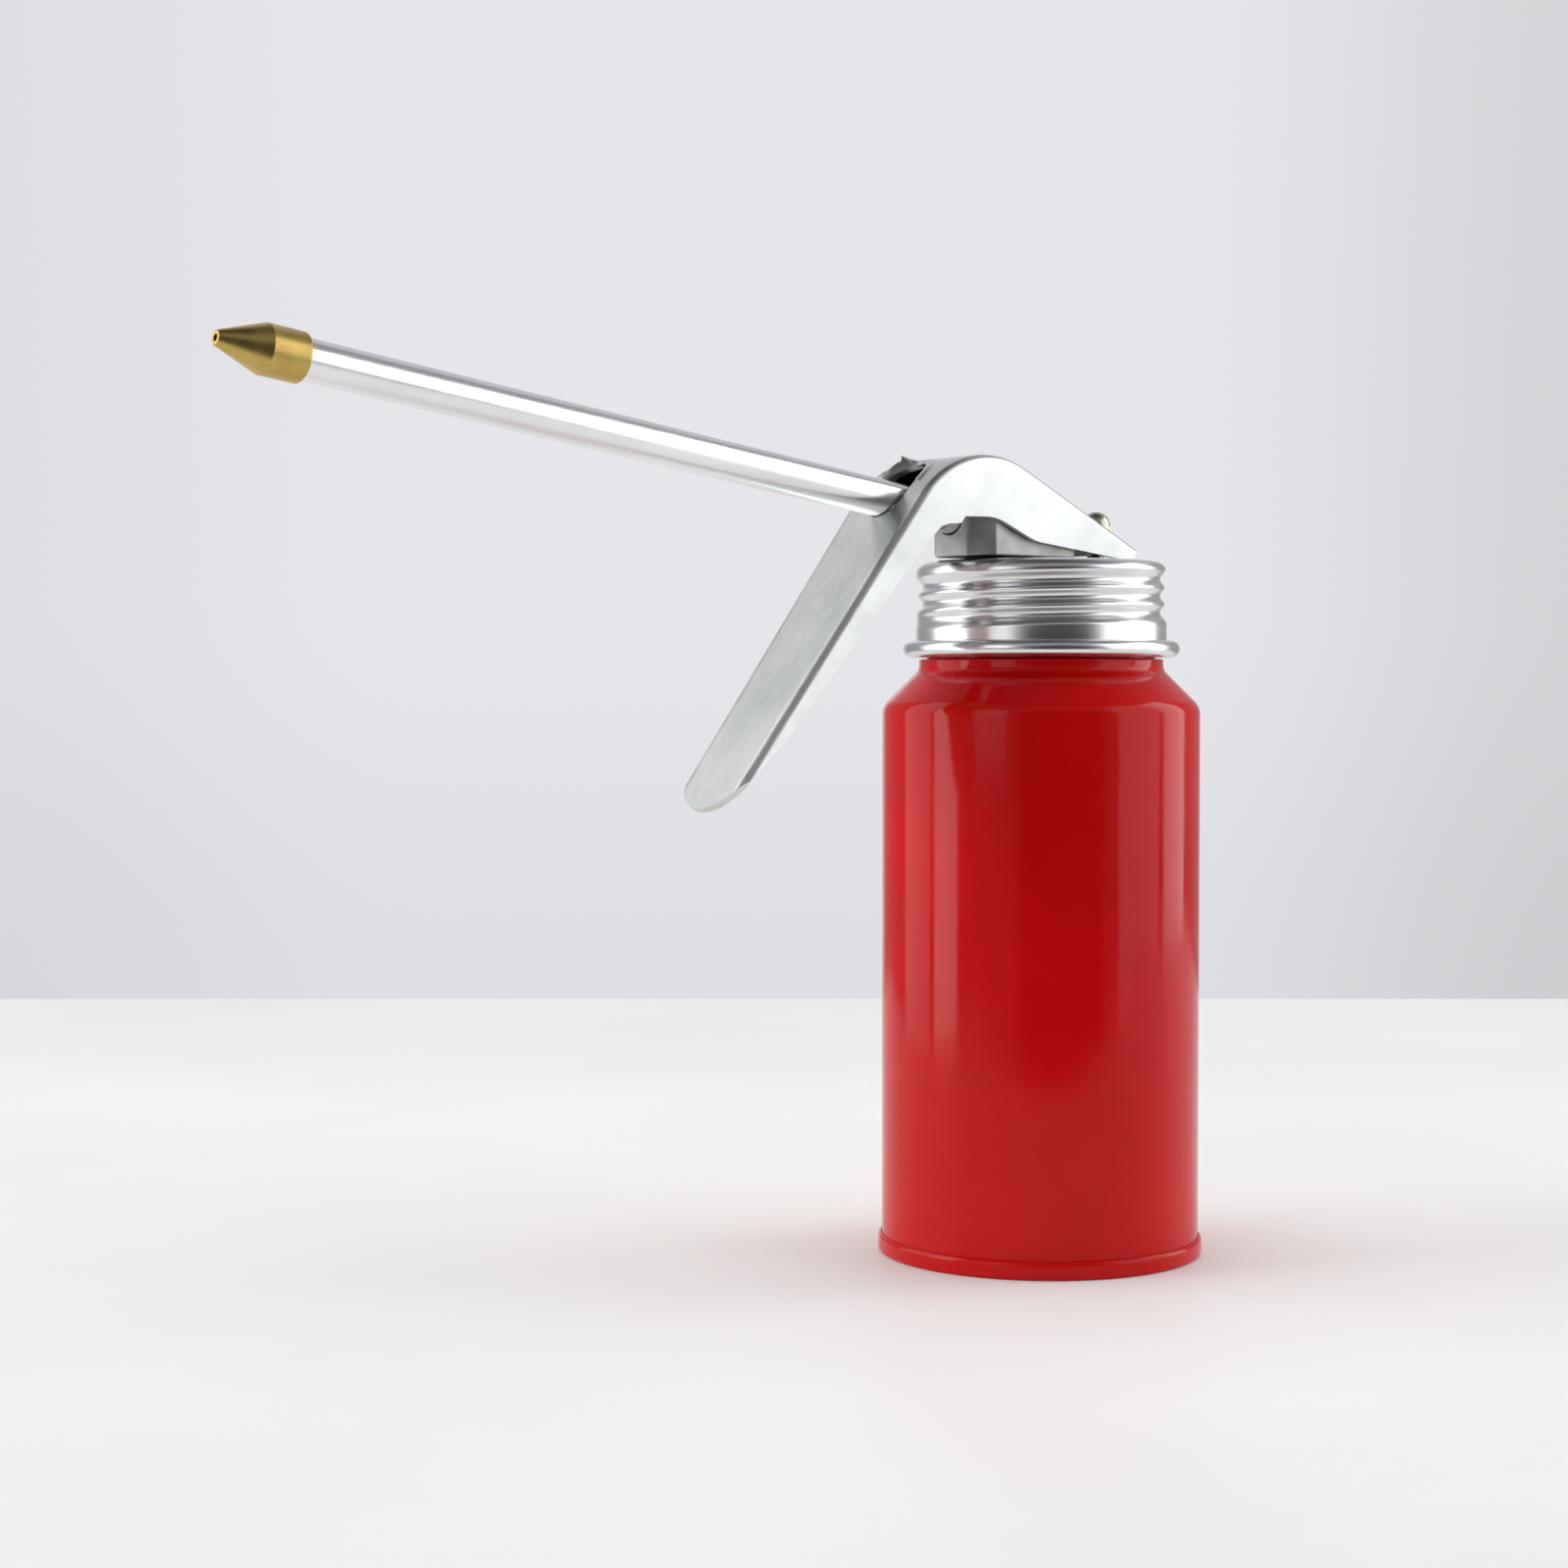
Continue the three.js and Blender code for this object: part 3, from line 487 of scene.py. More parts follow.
def softened(name, made, width, segments, angle):
    """A helper object with its modifiers applied and its edges over an angle in degrees bevelled."""
    bevel = made.modifiers.new("soft", "BEVEL")
    bevel.width = width
    bevel.segments = segments
    bevel.limit_method = "ANGLE"
    bevel.angle_limit = math.radians(angle)
    bpy.context.view_layer.update()
    soft = helper_object(name, solid_of(made))
    bpy.data.objects.remove(made)
    return soft


def prism(outline, low, high, to_space):
    """An outline of 2D points between two heights, put in space by to_space(x, y, height)."""
    mesh = bmesh.new()
    closed_strip(
        mesh, [[mesh.verts.new(to_space(x, y, h)) for x, y in outline] for h in (low, high)]
    )
    bmesh.ops.triangulate(mesh, faces=[f for f in mesh.faces if len(f.verts) > 4])
    return mesh


def upright(x, y, h):
    return (x, y, h)


# Can: drawn shell with its shoulder and neck
ROUND_SIDES = 160
TOUCH = 0.05
SHEET = 0.6
CAN_R, NECK_R, MOUTH_R = 26.2, 20.15, 18.55
SHELL_FOOT, SHOULDER_Z, NECK_TOP_Z, RIM_Z = 0.66, 89, 98.1, 112.6
SHOULDER_ROUND, NECK_ROUND = 3.2, 2.2
# How much lower the two corners of the shoulder lie on the inside
INNER_SHOULDER_DROP, INNER_NECK_DROP = 0.25, 0.85
WALL_ROWS = (30, 60)

shoulder_low = SHOULDER_Z + SHOULDER_ROUND * math.tan(math.pi / 8)
inner_can = CAN_R - SHEET
inner_neck = NECK_R - SHEET
inner_mouth = MOUTH_R - SHEET
shell_profile = [
    (inner_can, SHELL_FOOT),
    (CAN_R, SHELL_FOOT, 0.15),
    *[(CAN_R, z) for z in WALL_ROWS],
    (CAN_R, shoulder_low, SHOULDER_ROUND),
    (NECK_R, shoulder_low + CAN_R - NECK_R, NECK_ROUND),
    (NECK_R, NECK_TOP_Z, 0.35),
    (MOUTH_R, NECK_TOP_Z, 0.15),
    (MOUTH_R, RIM_Z, 0.25),
    (inner_mouth, RIM_Z, 0.25),
    (inner_mouth, NECK_TOP_Z - SHEET, 0.3),
    (inner_neck, NECK_TOP_Z - SHEET, 0.15),
    (inner_neck, shoulder_low + CAN_R - inner_neck - INNER_NECK_DROP, NECK_ROUND - SHEET),
    (inner_can, shoulder_low - INNER_SHOULDER_DROP, SHOULDER_ROUND - SHEET),
    *[(inner_can, z) for z in reversed(WALL_ROWS)],
]
shell = turned(rounded(shell_profile, 7), ROUND_SIDES)
piece("can_shell_skin", shell, "red_enamel", "can", ["can_shell"])

# Bottom end with its double seam and pressed rings
SEAM_R, STAND_R = 26.8, 25.5
BEAD_TOP, BEAD_LIP = 2.98, 2.66
BEAD_IN, BEAD_DOWN, BEAD_STEP = 0.52, 0.8, 11
PANEL_FOOT, PANEL_TOP = 2.4, 3.0
HOOK_FOOT, HOOK_TOP = 0.6, 3.4
CHUCK_R, CHUCK_LEAN = 24.95, 0.6
RING_ROUND = 0.5
# Inner and outer radius of each pressed ring, the width of its slopes and the height of its floor
PRESSED_RINGS = ((9, 11.4, 0.6, 2.0), (17, 19.9, 0.7, 1.9))
ring_profile = []
for ring_in, ring_out, slope, ring_floor in PRESSED_RINGS:
    ring_profile += [
        (ring_in, PANEL_FOOT, RING_ROUND),
        (ring_in + slope, ring_floor, RING_ROUND),
        (ring_out - slope, ring_floor, RING_ROUND),
        (ring_out, PANEL_FOOT, RING_ROUND),
    ]
bead = [
    (
        SEAM_R - BEAD_IN * (1 - math.cos(math.radians(a))),
        BEAD_TOP - BEAD_DOWN * (1 - math.sin(math.radians(a))),
    )
    for a in range(0, 90, BEAD_STEP)
]
bottom_profile = [
    (0, PANEL_FOOT),
    *ring_profile,
    (CHUCK_R - CHUCK_LEAN, PANEL_FOOT, RING_ROUND),
    (CHUCK_R, 0, 0.35),
    (STAND_R, 0),
    (SEAM_R, 0, 0.75),
    *bead,
    (CAN_R + TOUCH, BEAD_LIP, 0.1),
    (CAN_R + TOUCH, HOOK_FOOT),
    (inner_can - TOUCH, HOOK_FOOT),
    (inner_can - TOUCH, HOOK_TOP, 0.2),
    (CHUCK_R, HOOK_TOP, 0.3),
    (CHUCK_R, PANEL_TOP, 0.2),
    (0, PANEL_TOP),
]
bottom = turned(rounded(bottom_profile, 5, False), ROUND_SIDES, False)
piece("can_bottom_skin", bottom, "red_enamel", "can", ["can_bottom"])

# Screw cap: spun sheet with a rolled thread and a curled rim
CAP_SIDES, HOLE_SIDES = 240, 40
CAP_R, CAP_IN_R = 20.65, 18.85
CAP_FOOT, CAP_TOP = 98.4, 114.1
CAP_SHEET = 0.6
CAP_CORNER_R = 2.0
CURL_R, CURL_INSET = 1.35, 0.55
CAP_WALL_FOOT = CAP_FOOT + 2.6
CURL_STEPS, CAP_WALL_STEPS, CORNER_STEPS = 18, 84, 10
PITCH = 2.75
GROOVE_DEPTH, GROOVE_HALF = 1.1, 1.87
GROOVE_FIRST_Z = 104.55
GROOVE_START = math.radians(-200)
GROOVE_TURNS, FADE = 2.6, 0.11
# The thread keeps off the curl and off the flat top
GROOVE_LOW, GROOVE_IN_R = CAP_FOOT + 2.4, CAP_R - 1.45
STEM_X, STEM_HOLE_R = -7.5, 6.15
STUD_X, STUD_HOLE_R = 12.5, 1.65


def groove(angle, z):
    """Depth of the rolled thread at an angle in turns past its start, and a height."""
    depth = 0
    for turn in range(-1, math.ceil(GROOVE_TURNS) + 1):
        along = angle + turn
        if not -FADE < along < GROOVE_TURNS + FADE:
            continue
        fade = step_up(min(along + FADE, GROOVE_TURNS + FADE - along), 0, 2 * FADE)
        off = (z - GROOVE_FIRST_Z - PITCH * along) / GROOVE_HALF
        if abs(off) < 1:
            depth += fade * (0.5 + 0.5 * math.cos(math.pi * off))
    return depth * GROOVE_DEPTH


curl_x = CAP_R + CURL_R - CURL_INSET
curl_end = math.acos(CURL_INSET / CURL_R - 1)
wall_top = CAP_TOP - CAP_CORNER_R
wall_step = (wall_top - CAP_WALL_FOOT) / CAP_WALL_STEPS
outer = circle(curl_x, CAP_FOOT + CURL_R, CURL_R, CURL_STEPS, -math.pi / 2, curl_end)
outer += [(CAP_R, CAP_WALL_FOOT + wall_step * i) for i in range(CAP_WALL_STEPS + 1)]
outer += circle(CAP_R - CAP_CORNER_R, wall_top, CAP_CORNER_R, CORNER_STEPS, 0, math.pi / 2)[1:]
cap = bmesh.new()
cap_rows = []
for r, z in outer:
    row = []
    for i in range(CAP_SIDES):
        a = TAU * i / CAP_SIDES
        past_start = (a - GROOVE_START) / TAU % 1.0
        cut = groove(past_start, z) if z > GROOVE_LOW and r > GROOVE_IN_R else 0
        row.append(cap.verts.new(((r - cut) * math.cos(a), (r - cut) * math.sin(a), z)))
    cap_rows.append(row)
inner_rows = [
    [cap.verts.new((x, y, z)) for x, y in circle(0, 0, CAP_IN_R, CAP_SIDES)]
    for z in (CAP_TOP - CAP_SHEET, CAP_FOOT)
]
grid_faces(cap, cap_rows, False, True)
grid_faces(cap, inner_rows, False, True)
grid_faces(cap, [inner_rows[1], cap_rows[0]], False, True)


def holed_disc(mesh, rim, z, holes):
    """Fills a rim with a flat disc that has round holes, and gives the vertices round each hole."""
    edges = [mesh.edges.get((rim[i], rim[i - 1])) for i in range(len(rim))]
    loops = []
    for x, radius in holes:
        loop = [mesh.verts.new((px, py, z)) for px, py in circle(x, 0, radius, HOLE_SIDES)]
        edges += [mesh.edges.new((loop[i], loop[i - 1])) for i in range(len(loop))]
        loops.append(loop)
    bmesh.ops.triangle_fill(mesh, edges=edges, use_beauty=True, use_dissolve=False)
    return loops


cap_holes = [(STEM_X, STEM_HOLE_R), (STUD_X, STUD_HOLE_R)]
upper_loops = holed_disc(cap, cap_rows[-1], CAP_TOP, cap_holes)
lower_loops = holed_disc(cap, inner_rows[0], CAP_TOP - CAP_SHEET, cap_holes)
for upper, lower in zip(upper_loops, lower_loops):
    grid_faces(cap, [upper, lower], False, True)
piece("screw_cap_skin", cap, "cap_aluminium", "cap", ["screw_cap"], sharp=50)

# Spout: drawn tube and turned nozzle. Its frame starts on the front of the block, +Z along the spout
SPOUT_RISE = math.radians(8.26)
SPOUT_ROOT = (-19.8, 0, 121.165)
SPOUT_L, SOCKET_L = 131.57, 6.63
TUBE_R, TUBE_BORE_R, TUBE_SIDES = 3.0, 2.0, 72
TUBE_ROWS = (30, 60, 90)
CONE_L, NOZZLE_SKIRT, NOZZLE_GRIP = 7, 5.9, 4.6
spout_frame = Matrix.Translation(SPOUT_ROOT) @ Matrix.Rotation(SPOUT_RISE - math.pi / 2, 4, "Y")
cone_foot = SPOUT_L - CONE_L
nozzle_foot = cone_foot - NOZZLE_SKIRT
tube_end = nozzle_foot + NOZZLE_GRIP
tube_profile = [
    (TUBE_BORE_R, TOUCH - SOCKET_L, 0.1),
    (TUBE_R, TOUCH - SOCKET_L, 0.2),
    *[(TUBE_R, z) for z in TUBE_ROWS],
    (TUBE_R, tube_end, 0.2),
    (TUBE_BORE_R, tube_end, 0.1),
    *[(TUBE_BORE_R, z) for z in reversed(TUBE_ROWS)],
]
tube = turned(rounded(tube_profile, 4), TUBE_SIDES)
piece("spout_tube_skin", tube, "nickel_plate", "cap", ["spout_tube"], spout_frame)

NOZZLE_R, NOZZLE_IN_R, NOZZLE_TIP_R, NOZZLE_SIDES = 3.62, 3.05, 1.05, 96
ORIFICE_R, ORIFICE_L = 0.5, 3
nozzle_profile = [
    (NOZZLE_IN_R, nozzle_foot, 0.08),
    (NOZZLE_R, nozzle_foot, 0.4),
    (NOZZLE_R, cone_foot - 0.1, 0.25),
    (NOZZLE_TIP_R, SPOUT_L, 0.2),
    (ORIFICE_R, SPOUT_L, 0.1),
    (ORIFICE_R, SPOUT_L - ORIFICE_L, 0.1),
    (TUBE_BORE_R, tube_end + 1, 0.1),
    (TUBE_BORE_R, tube_end + TOUCH),
    (NOZZLE_IN_R, tube_end + TOUCH),
]
nozzle = turned(rounded(nozzle_profile, 5), NOZZLE_SIDES)
piece("spout_nozzle_skin", nozzle, "brass", "cap", ["spout_nozzle"], spout_frame, 28)

# Pump block: casting with its front corners cut off, a hump for the socket and a stem
PAST = 5
BORE_SIDES = 64
BLOCK_FRONT, BLOCK_BACK = -19.8, 0.8
BLOCK_HALF_W, BLOCK_CORNER = 7.25, 3.2
BLOCK_FOOT, BLOCK_TOP, HUMP_TOP = 114.6, 121.4, 125.26
HUMP_FALL, HUMP_LEAN, BACK_FALL = 0.6, 1, 2
SEAL_R, SEAL_WALL = 4.0, 0.5
BLOCK_ROUND = 0.35
hump_back = STEM_X - SEAL_R - SEAL_WALL
top_back = STEM_X + SEAL_R + SEAL_WALL
plan = [
    (BLOCK_FRONT, BLOCK_CORNER - BLOCK_HALF_W),
    (BLOCK_FRONT + BLOCK_CORNER, -BLOCK_HALF_W),
    (BLOCK_BACK, -BLOCK_HALF_W),
    (BLOCK_BACK, BLOCK_HALF_W),
    (BLOCK_FRONT + BLOCK_CORNER, BLOCK_HALF_W),
    (BLOCK_FRONT, BLOCK_HALF_W - BLOCK_CORNER),
]
side = [
    (BLOCK_FRONT - PAST, BLOCK_FOOT - PAST),
    (BLOCK_FRONT - PAST, HUMP_TOP),
    (hump_back - HUMP_LEAN, HUMP_TOP - HUMP_FALL),
    (hump_back, BLOCK_TOP),
    (top_back, BLOCK_TOP),
    (BLOCK_BACK, BLOCK_TOP - BACK_FALL),
    (BLOCK_BACK + PAST, BLOCK_TOP - BACK_FALL),
    (BLOCK_BACK + PAST, BLOCK_FOOT - PAST),
]


def from_side(x, y, h):
    return (x, h, y)


blank = helper_object("block_blank", prism(plan, BLOCK_FOOT, HUMP_TOP + PAST, upright))
half_reach = BLOCK_HALF_W + PAST
side_object = helper_object("block_side", prism(side, -half_reach, half_reach, from_side))
shaped = helper_object("block_shape", combine(blank, ("INTERSECT", side_object)))
soft_block = softened("block_soft", shaped, BLOCK_ROUND, 3, 25)

at_pump = Matrix.Translation((STEM_X, 0, 0))
STEM_FOOT = 98.1
STEM_R, STEM_ROOT_R, STEM_NECK_R = 6.0, 5.5, 5.6
STEM_TURNS, STEM_PITCH, STEM_RISE = 11, 1.25, 0.62
stem_profile = [
    (0, STEM_FOOT),
    (STEM_NECK_R, STEM_FOOT),
    (STEM_R, STEM_FOOT + 0.4),
    *thread(STEM_FOOT + 0.8, STEM_TURNS, STEM_PITCH, STEM_RISE, STEM_ROOT_R, STEM_R),
    (STEM_NECK_R, BLOCK_FOOT - 1.2),
    (STEM_NECK_R, BLOCK_FOOT + 0.6),
    (0, BLOCK_FOOT + 0.6),
]
stem_object = helper_object("block_stem", turned(stem_profile, BORE_SIDES, False), at_pump)

SEAT_R, SEAT_L = 4.65, 3
CHAMBER_R, CHAMBER_TOP = 3.4, 119.2
PLUNGER_BORE_R, SEAL_FLOOR = 2.6, 119.3
bore_profile = [
    (0, STEM_FOOT - PAST),
    (SEAT_R, STEM_FOOT - PAST),
    (SEAT_R, STEM_FOOT + SEAT_L),
    (CHAMBER_R, STEM_FOOT + SEAT_L),
    (CHAMBER_R, CHAMBER_TOP),
    (PLUNGER_BORE_R, CHAMBER_TOP),
    (PLUNGER_BORE_R, SEAL_FLOOR),
    (SEAL_R, SEAL_FLOOR),
    (SEAL_R, BLOCK_TOP + PAST),
    (0, BLOCK_TOP + PAST),
]
bore_object = helper_object("block_bores", turned(bore_profile, BORE_SIDES, False), at_pump)

SOCKET_R, SOCKET_OUT = 3.2, 8
socket = pin(SOCKET_R, -SOCKET_L, SOCKET_OUT, BORE_SIDES)
socket_object = helper_object("block_socket", socket, spout_frame)

# Outlet port, from the socket's floor down into the chamber
PORT_R, PORT_END, PORT_SIDES = 1.0, 115.8, 32
socket_floor = spout_frame @ Vector((0, 0, -SOCKET_L))
port_way = Vector((STEM_X, 0, PORT_END)) - socket_floor
port_turn = port_way.to_track_quat("Z", "Y").to_matrix().to_4x4()
port = pin(PORT_R, -0.5, port_way.length, PORT_SIDES)
port_object = helper_object("block_port", port, Matrix.Translation(socket_floor) @ port_turn)

# Rim of metal staked round the tube where it enters the block
STAKE_R, STAKE_T, STAKE_SIDES = 3.45, 0.36, 12
stake_frame = Matrix.Translation(SPOUT_ROOT) @ Matrix.Rotation(math.pi / 2, 4, "Y")
stake = turned(circle(STAKE_R, 0, STAKE_T, STAKE_SIDES), BORE_SIDES)
stake_object = helper_object("block_stake", stake, stake_frame)
block = combine(
    soft_block,
    ("UNION", stem_object),
    ("UNION", stake_object),
    ("DIFFERENCE", bore_object),
    ("DIFFERENCE", socket_object),
    ("DIFFERENCE", port_object),
)
piece("pump_block_skin", block, "zinc_casting", "cap", ["pump_block"], sharp=32)

# Fibre washer between the block and the cap
WASHER_IN_R, WASHER_R, WASHER_SIDES = 6.15, 7.0, 96
washer_profile = [
    (WASHER_IN_R, CAP_TOP, 0.1),
    (WASHER_R, CAP_TOP, 0.12),
    (WASHER_R, BLOCK_FOOT, 0.12),
    (WASHER_IN_R, BLOCK_FOOT, 0.1),
]
washer = turned(rounded(washer_profile, 3), WASHER_SIDES)
piece("block_washer_skin", washer, "fibre", "cap", ["block_washer"], at_pump)

# Return spring, which the plunger shortens
SPRING_FOOT, SPRING_TOP = 101.1, 108.45
SPRING_R, WIRE_R = 2.65, 0.3
SPRING_CURLS, STEPS_PER_CURL, WIRE_SIDES = 5, 32, 10
spring_steps = SPRING_CURLS * STEPS_PER_CURL
spring_rise = SPRING_TOP - SPRING_FOOT - 2 * WIRE_R
spring = bmesh.new()
spring_rows = []
for i in range(spring_steps + 1):
    a = TAU * i / STEPS_PER_CURL
    z = SPRING_FOOT + WIRE_R + spring_rise * i / spring_steps
    spring_rows.append(
        [
            spring.verts.new((r * math.cos(a), r * math.sin(a), z + h))
            for r, h in circle(SPRING_R, 0, WIRE_R, WIRE_SIDES)
        ]
    )
closed_strip(spring, spring_rows)
spring_piece = piece("return_spring_skin", spring, "bright_steel", "cap", ["return_spring"], at_pump)
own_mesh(spring_piece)

# Lever: pressed channel. Its web runs from the heel over the apex and down the trigger
APEX_X, APEX_Z, APEX_R = -18.9, 130.45, 18.0
BACK_SLOPE = math.radians(26)
FRONT_SLOPE = math.radians(52.3)
FRONT_L = 61.0
BACK_X = 13.9
LEVER_SHEET = 1.0
LEVER_W, TIP_W = 17.2, 14.5
BEND_R = 1.2
HEEL_Z, HEEL_HALF = 114.4, 0.8
BACK_STEPS, APEX_STEPS, FRONT_STEPS = 34, 44, 48
# Points and directions of the lever's middle plane are (x, z)
apex = Vector((APEX_X, APEX_Z))
apex_centre = Vector((APEX_X, APEX_Z - APEX_R))
back_normal = Vector((math.sin(BACK_SLOPE), math.cos(BACK_SLOPE)))
back_along = Vector((back_normal.y, -back_normal.x))
front_normal = Vector((-math.sin(FRONT_SLOPE), math.cos(FRONT_SLOPE)))
front_along = Vector((-front_normal.y, front_normal.x))
back_bend = apex_centre + back_normal * APEX_R
front_bend = apex_centre + front_normal * APEX_R
back_l = (BACK_X - back_bend.x) / back_along.x


def on_front(along, out=0.0):
    """A point along the trigger's outer face, or out from it."""
    return front_bend + front_along * along + front_normal * out


def below_apex(x, drop):
    return apex + Vector((x, -drop))


def web_rows():
    """Points on the web's outer face with its normal and the distance down the trigger."""
    found = []
    for i in range(BACK_STEPS):
        along = back_l * (1 - i / BACK_STEPS)
        found.append((back_bend + back_along * along, back_normal, 0.0))
    for i in range(APEX_STEPS):
        a = BACK_SLOPE - (BACK_SLOPE + FRONT_SLOPE) * i / APEX_STEPS
        normal = Vector((math.sin(a), math.cos(a)))
        found.append((apex_centre + normal * APEX_R, normal, 0.0))
    for i in range(FRONT_STEPS + 1):
        along = (FRONT_L + 1) * i / FRONT_STEPS
        found.append((on_front(along), front_normal, along))
    return found


def bent(start, lean, end, steps=10):
    """Points on a curve from start to end that leans to a third point."""
    return [
        start * (1 - t) ** 2 + lean * (2 * t * (1 - t)) + end * t * t
        for t in (i / steps for i in range(steps + 1))
    ]


# Lower edge of the flanges: up the trigger, round the bend, over the block and down to the heel
edge_line = [
    on_front(FRONT_L + 4, -LEVER_SHEET - 0.15),
    on_front(FRONT_L, -LEVER_SHEET - 0.4),
    *bent(on_front(FRONT_L * 0.1, -5.4), on_front(0, -5.9), below_apex(-9.2, 11.3)),
    below_apex(-6.2, 11.1),
    below_apex(-5.4, 10.0),
    below_apex(-0.4, 9.9),
    *bent(below_apex(-0.4, 9.9), below_apex(1.6, 10.0), below_apex(3.4, 10.8)),
    *bent(below_apex(8.6, 13.0), below_apex(10.4, 13.7), below_apex(12.4, 13.8)),
    Vector((STUD_X - HEEL_HALF, HEEL_Z)),
    Vector((STUD_X + HEEL_HALF, HEEL_Z)),
    Vector((BACK_X + 0.6, HEEL_Z + 0.9)),
]


def flange_depth(point, normal):
    """How far down the flange reaches from a point on the web's outer face."""
    best = None
    for a, b in zip(edge_line, edge_line[1:]):
        along = b - a
        across = along.x * -normal.y - along.y * -normal.x
        if abs(across) < 1e-9:
            continue
        gap = point - a
        depth = (along.y * gap.x - along.x * gap.y) / across
        share = (gap.x * -normal.y - gap.y * -normal.x) / across
        if 0 <= share <= 1 and depth > 0 and (best is None or depth < best):
            best = depth
    return best if best is not None else LEVER_SHEET + 0.2


FLANGE_STEPS, BEND_STEPS, WEB_STEPS = 4, 6, 24
FLANGE_LEAST = BEND_R + 0.15
# Slight wave that the press left in the flanges by the arch
WAVE_H, WAVE_X, WAVE_SPREAD = 0.07, APEX_X - 1.5, 5.0
WAVE_RATE, WAVE_LEAN, WAVE_FADE = 3.1, 0.25, 3
SHEET_ROUND = 0.14
half_sheet = LEVER_SHEET / 2
mid_bend = BEND_R - half_sheet
channel = bmesh.new()
channel_rows = []
for point, normal, along in web_rows():
    narrow = 1 - (1 - TIP_W / LEVER_W) * along / FRONT_L
    half = LEVER_W / 2 * narrow - half_sheet
    flat = half - mid_bend
    depth = max(flange_depth(point, normal), FLANGE_LEAST) - half_sheet
    section = [
        (half, -depth + (depth - mid_bend) * (i / FLANGE_STEPS)) for i in range(FLANGE_STEPS)
    ]
    section += circle(flat, -mid_bend, mid_bend, BEND_STEPS, 0, math.pi / 2)[:-1]
    section += [(flat * (1 - 2 * i / WEB_STEPS), 0.0) for i in range(WEB_STEPS + 1)]
    section += [(-y, d) for y, d in reversed(section[: FLANGE_STEPS + BEND_STEPS])]
    row = []
    for y, d in section:
        wave = 0.0
        if abs(abs(y) - half) < 0.05 and d < -mid_bend:
            near = math.exp(-(((point.x - WAVE_X) / WAVE_SPREAD) ** 2))
            fade = min(1, (-d - mid_bend) / WAVE_FADE)
            wave = WAVE_H * near * math.sin(point.x * WAVE_RATE + d * WAVE_LEAN) * fade
        spot = point + normal * (d - half_sheet)
        row.append(channel.verts.new((spot.x, y + math.copysign(wave, y), spot.y)))
    channel_rows.append(row)
grid_faces(channel, channel_rows, False, False)
channel_object = helper_object("lever_channel", channel)
thick = channel_object.modifiers.new("sheet", "SOLIDIFY")
thick.thickness = LEVER_SHEET
thick.offset = 0
thick.use_even_offset = True
sheet_object = softened("lever_sheet", channel_object, SHEET_ROUND, 2, 50)


def on_trigger(x, y, h):
    """Space of the trigger: x along it, y across it, h out of its web."""
    spot = on_front(x, h)
    return (spot.x, y, spot.y)


def across_trigger(x, h, y):
    return on_trigger(x, y, h)


# Round end of the trigger
TIP_OVER, TIP_SIDES, REACH = 0.2, 48, 20
tip_r = TIP_W / 2 + TIP_OVER
tip_x = FRONT_L - tip_r
past_tip = FRONT_L + REACH
tip_cut = circle(tip_x, 0, tip_r, TIP_SIDES, math.pi / 2, -math.pi / 2)
tip_cut += [(tip_x, -REACH), (past_tip, -REACH), (past_tip, REACH), (tip_x, REACH)]
tip_object = helper_object("lever_tip", prism(tip_cut, -REACH, REACH, on_trigger))

# Wedge that lets the flanges run out where the tip's round starts
RUN_OUT_L, RUN_OUT_H, RUN_OUT_FOOT = 12, 3.3, 12
under_web = -LEVER_SHEET - 0.02
run_out = [
    (tip_x - RUN_OUT_L, -RUN_OUT_H),
    (tip_x + 0.5, under_web),
    (past_tip, under_web),
    (past_tip, -RUN_OUT_FOOT),
    (tip_x - RUN_OUT_L, -RUN_OUT_FOOT),
]
run_out_object = helper_object("lever_run_out", prism(run_out, -REACH, REACH, across_trigger))

# Slot for the spout, with room over the tube for the lever's swing
SLOT_R, SLOT_SIDES, SLOT_REACH = 3.8, 28, 40
SLOT_UNDER, SLOT_OVER = 0.15, 3.95
slot_low = SLOT_R - TUBE_R - SLOT_UNDER
slot_high = TUBE_R + SLOT_OVER - SLOT_R


def along_spout(x, y, h):
    return tuple(spout_frame @ Vector((x, y, h)))


slot_line = circle(slot_high, 0, SLOT_R, SLOT_SIDES, -math.pi / 2, math.pi / 2)
slot_line += circle(slot_low, 0, SLOT_R, SLOT_SIDES, math.pi / 2, 1.5 * math.pi)
slot_object = helper_object("lever_slot", prism(slot_line, 0, SLOT_REACH, along_spout))

# Burr of metal raised round the upper end of the slot. Angles in degrees start it and swing round it
LIP_T, LIP_H = 0.8, 1.85
LIP_START, LIP_SWING, LIP_STEPS = -88, 214, 40
# It has a peak, and a high stretch that rises and falls between these angles in radians
LIP_PEAK, LIP_PEAK_SPREAD = 0.68, 0.2
LIP_RISES, LIP_FALLS = (0.2, 0.75), (1.7, 2.2)
LIP_LEAST, LIP_FAR_SHARE, LIP_PEAK_SHARE = 0.12, 0.55, 0.4
LIP_ROOT = LEVER_SHEET * 0.8
PLANE_UP = Vector((0, 1))
spout_way = (spout_frame.to_3x3() @ Vector((0, 0, 1))).normalized()
plane_way = Vector((spout_way.x, spout_way.z))


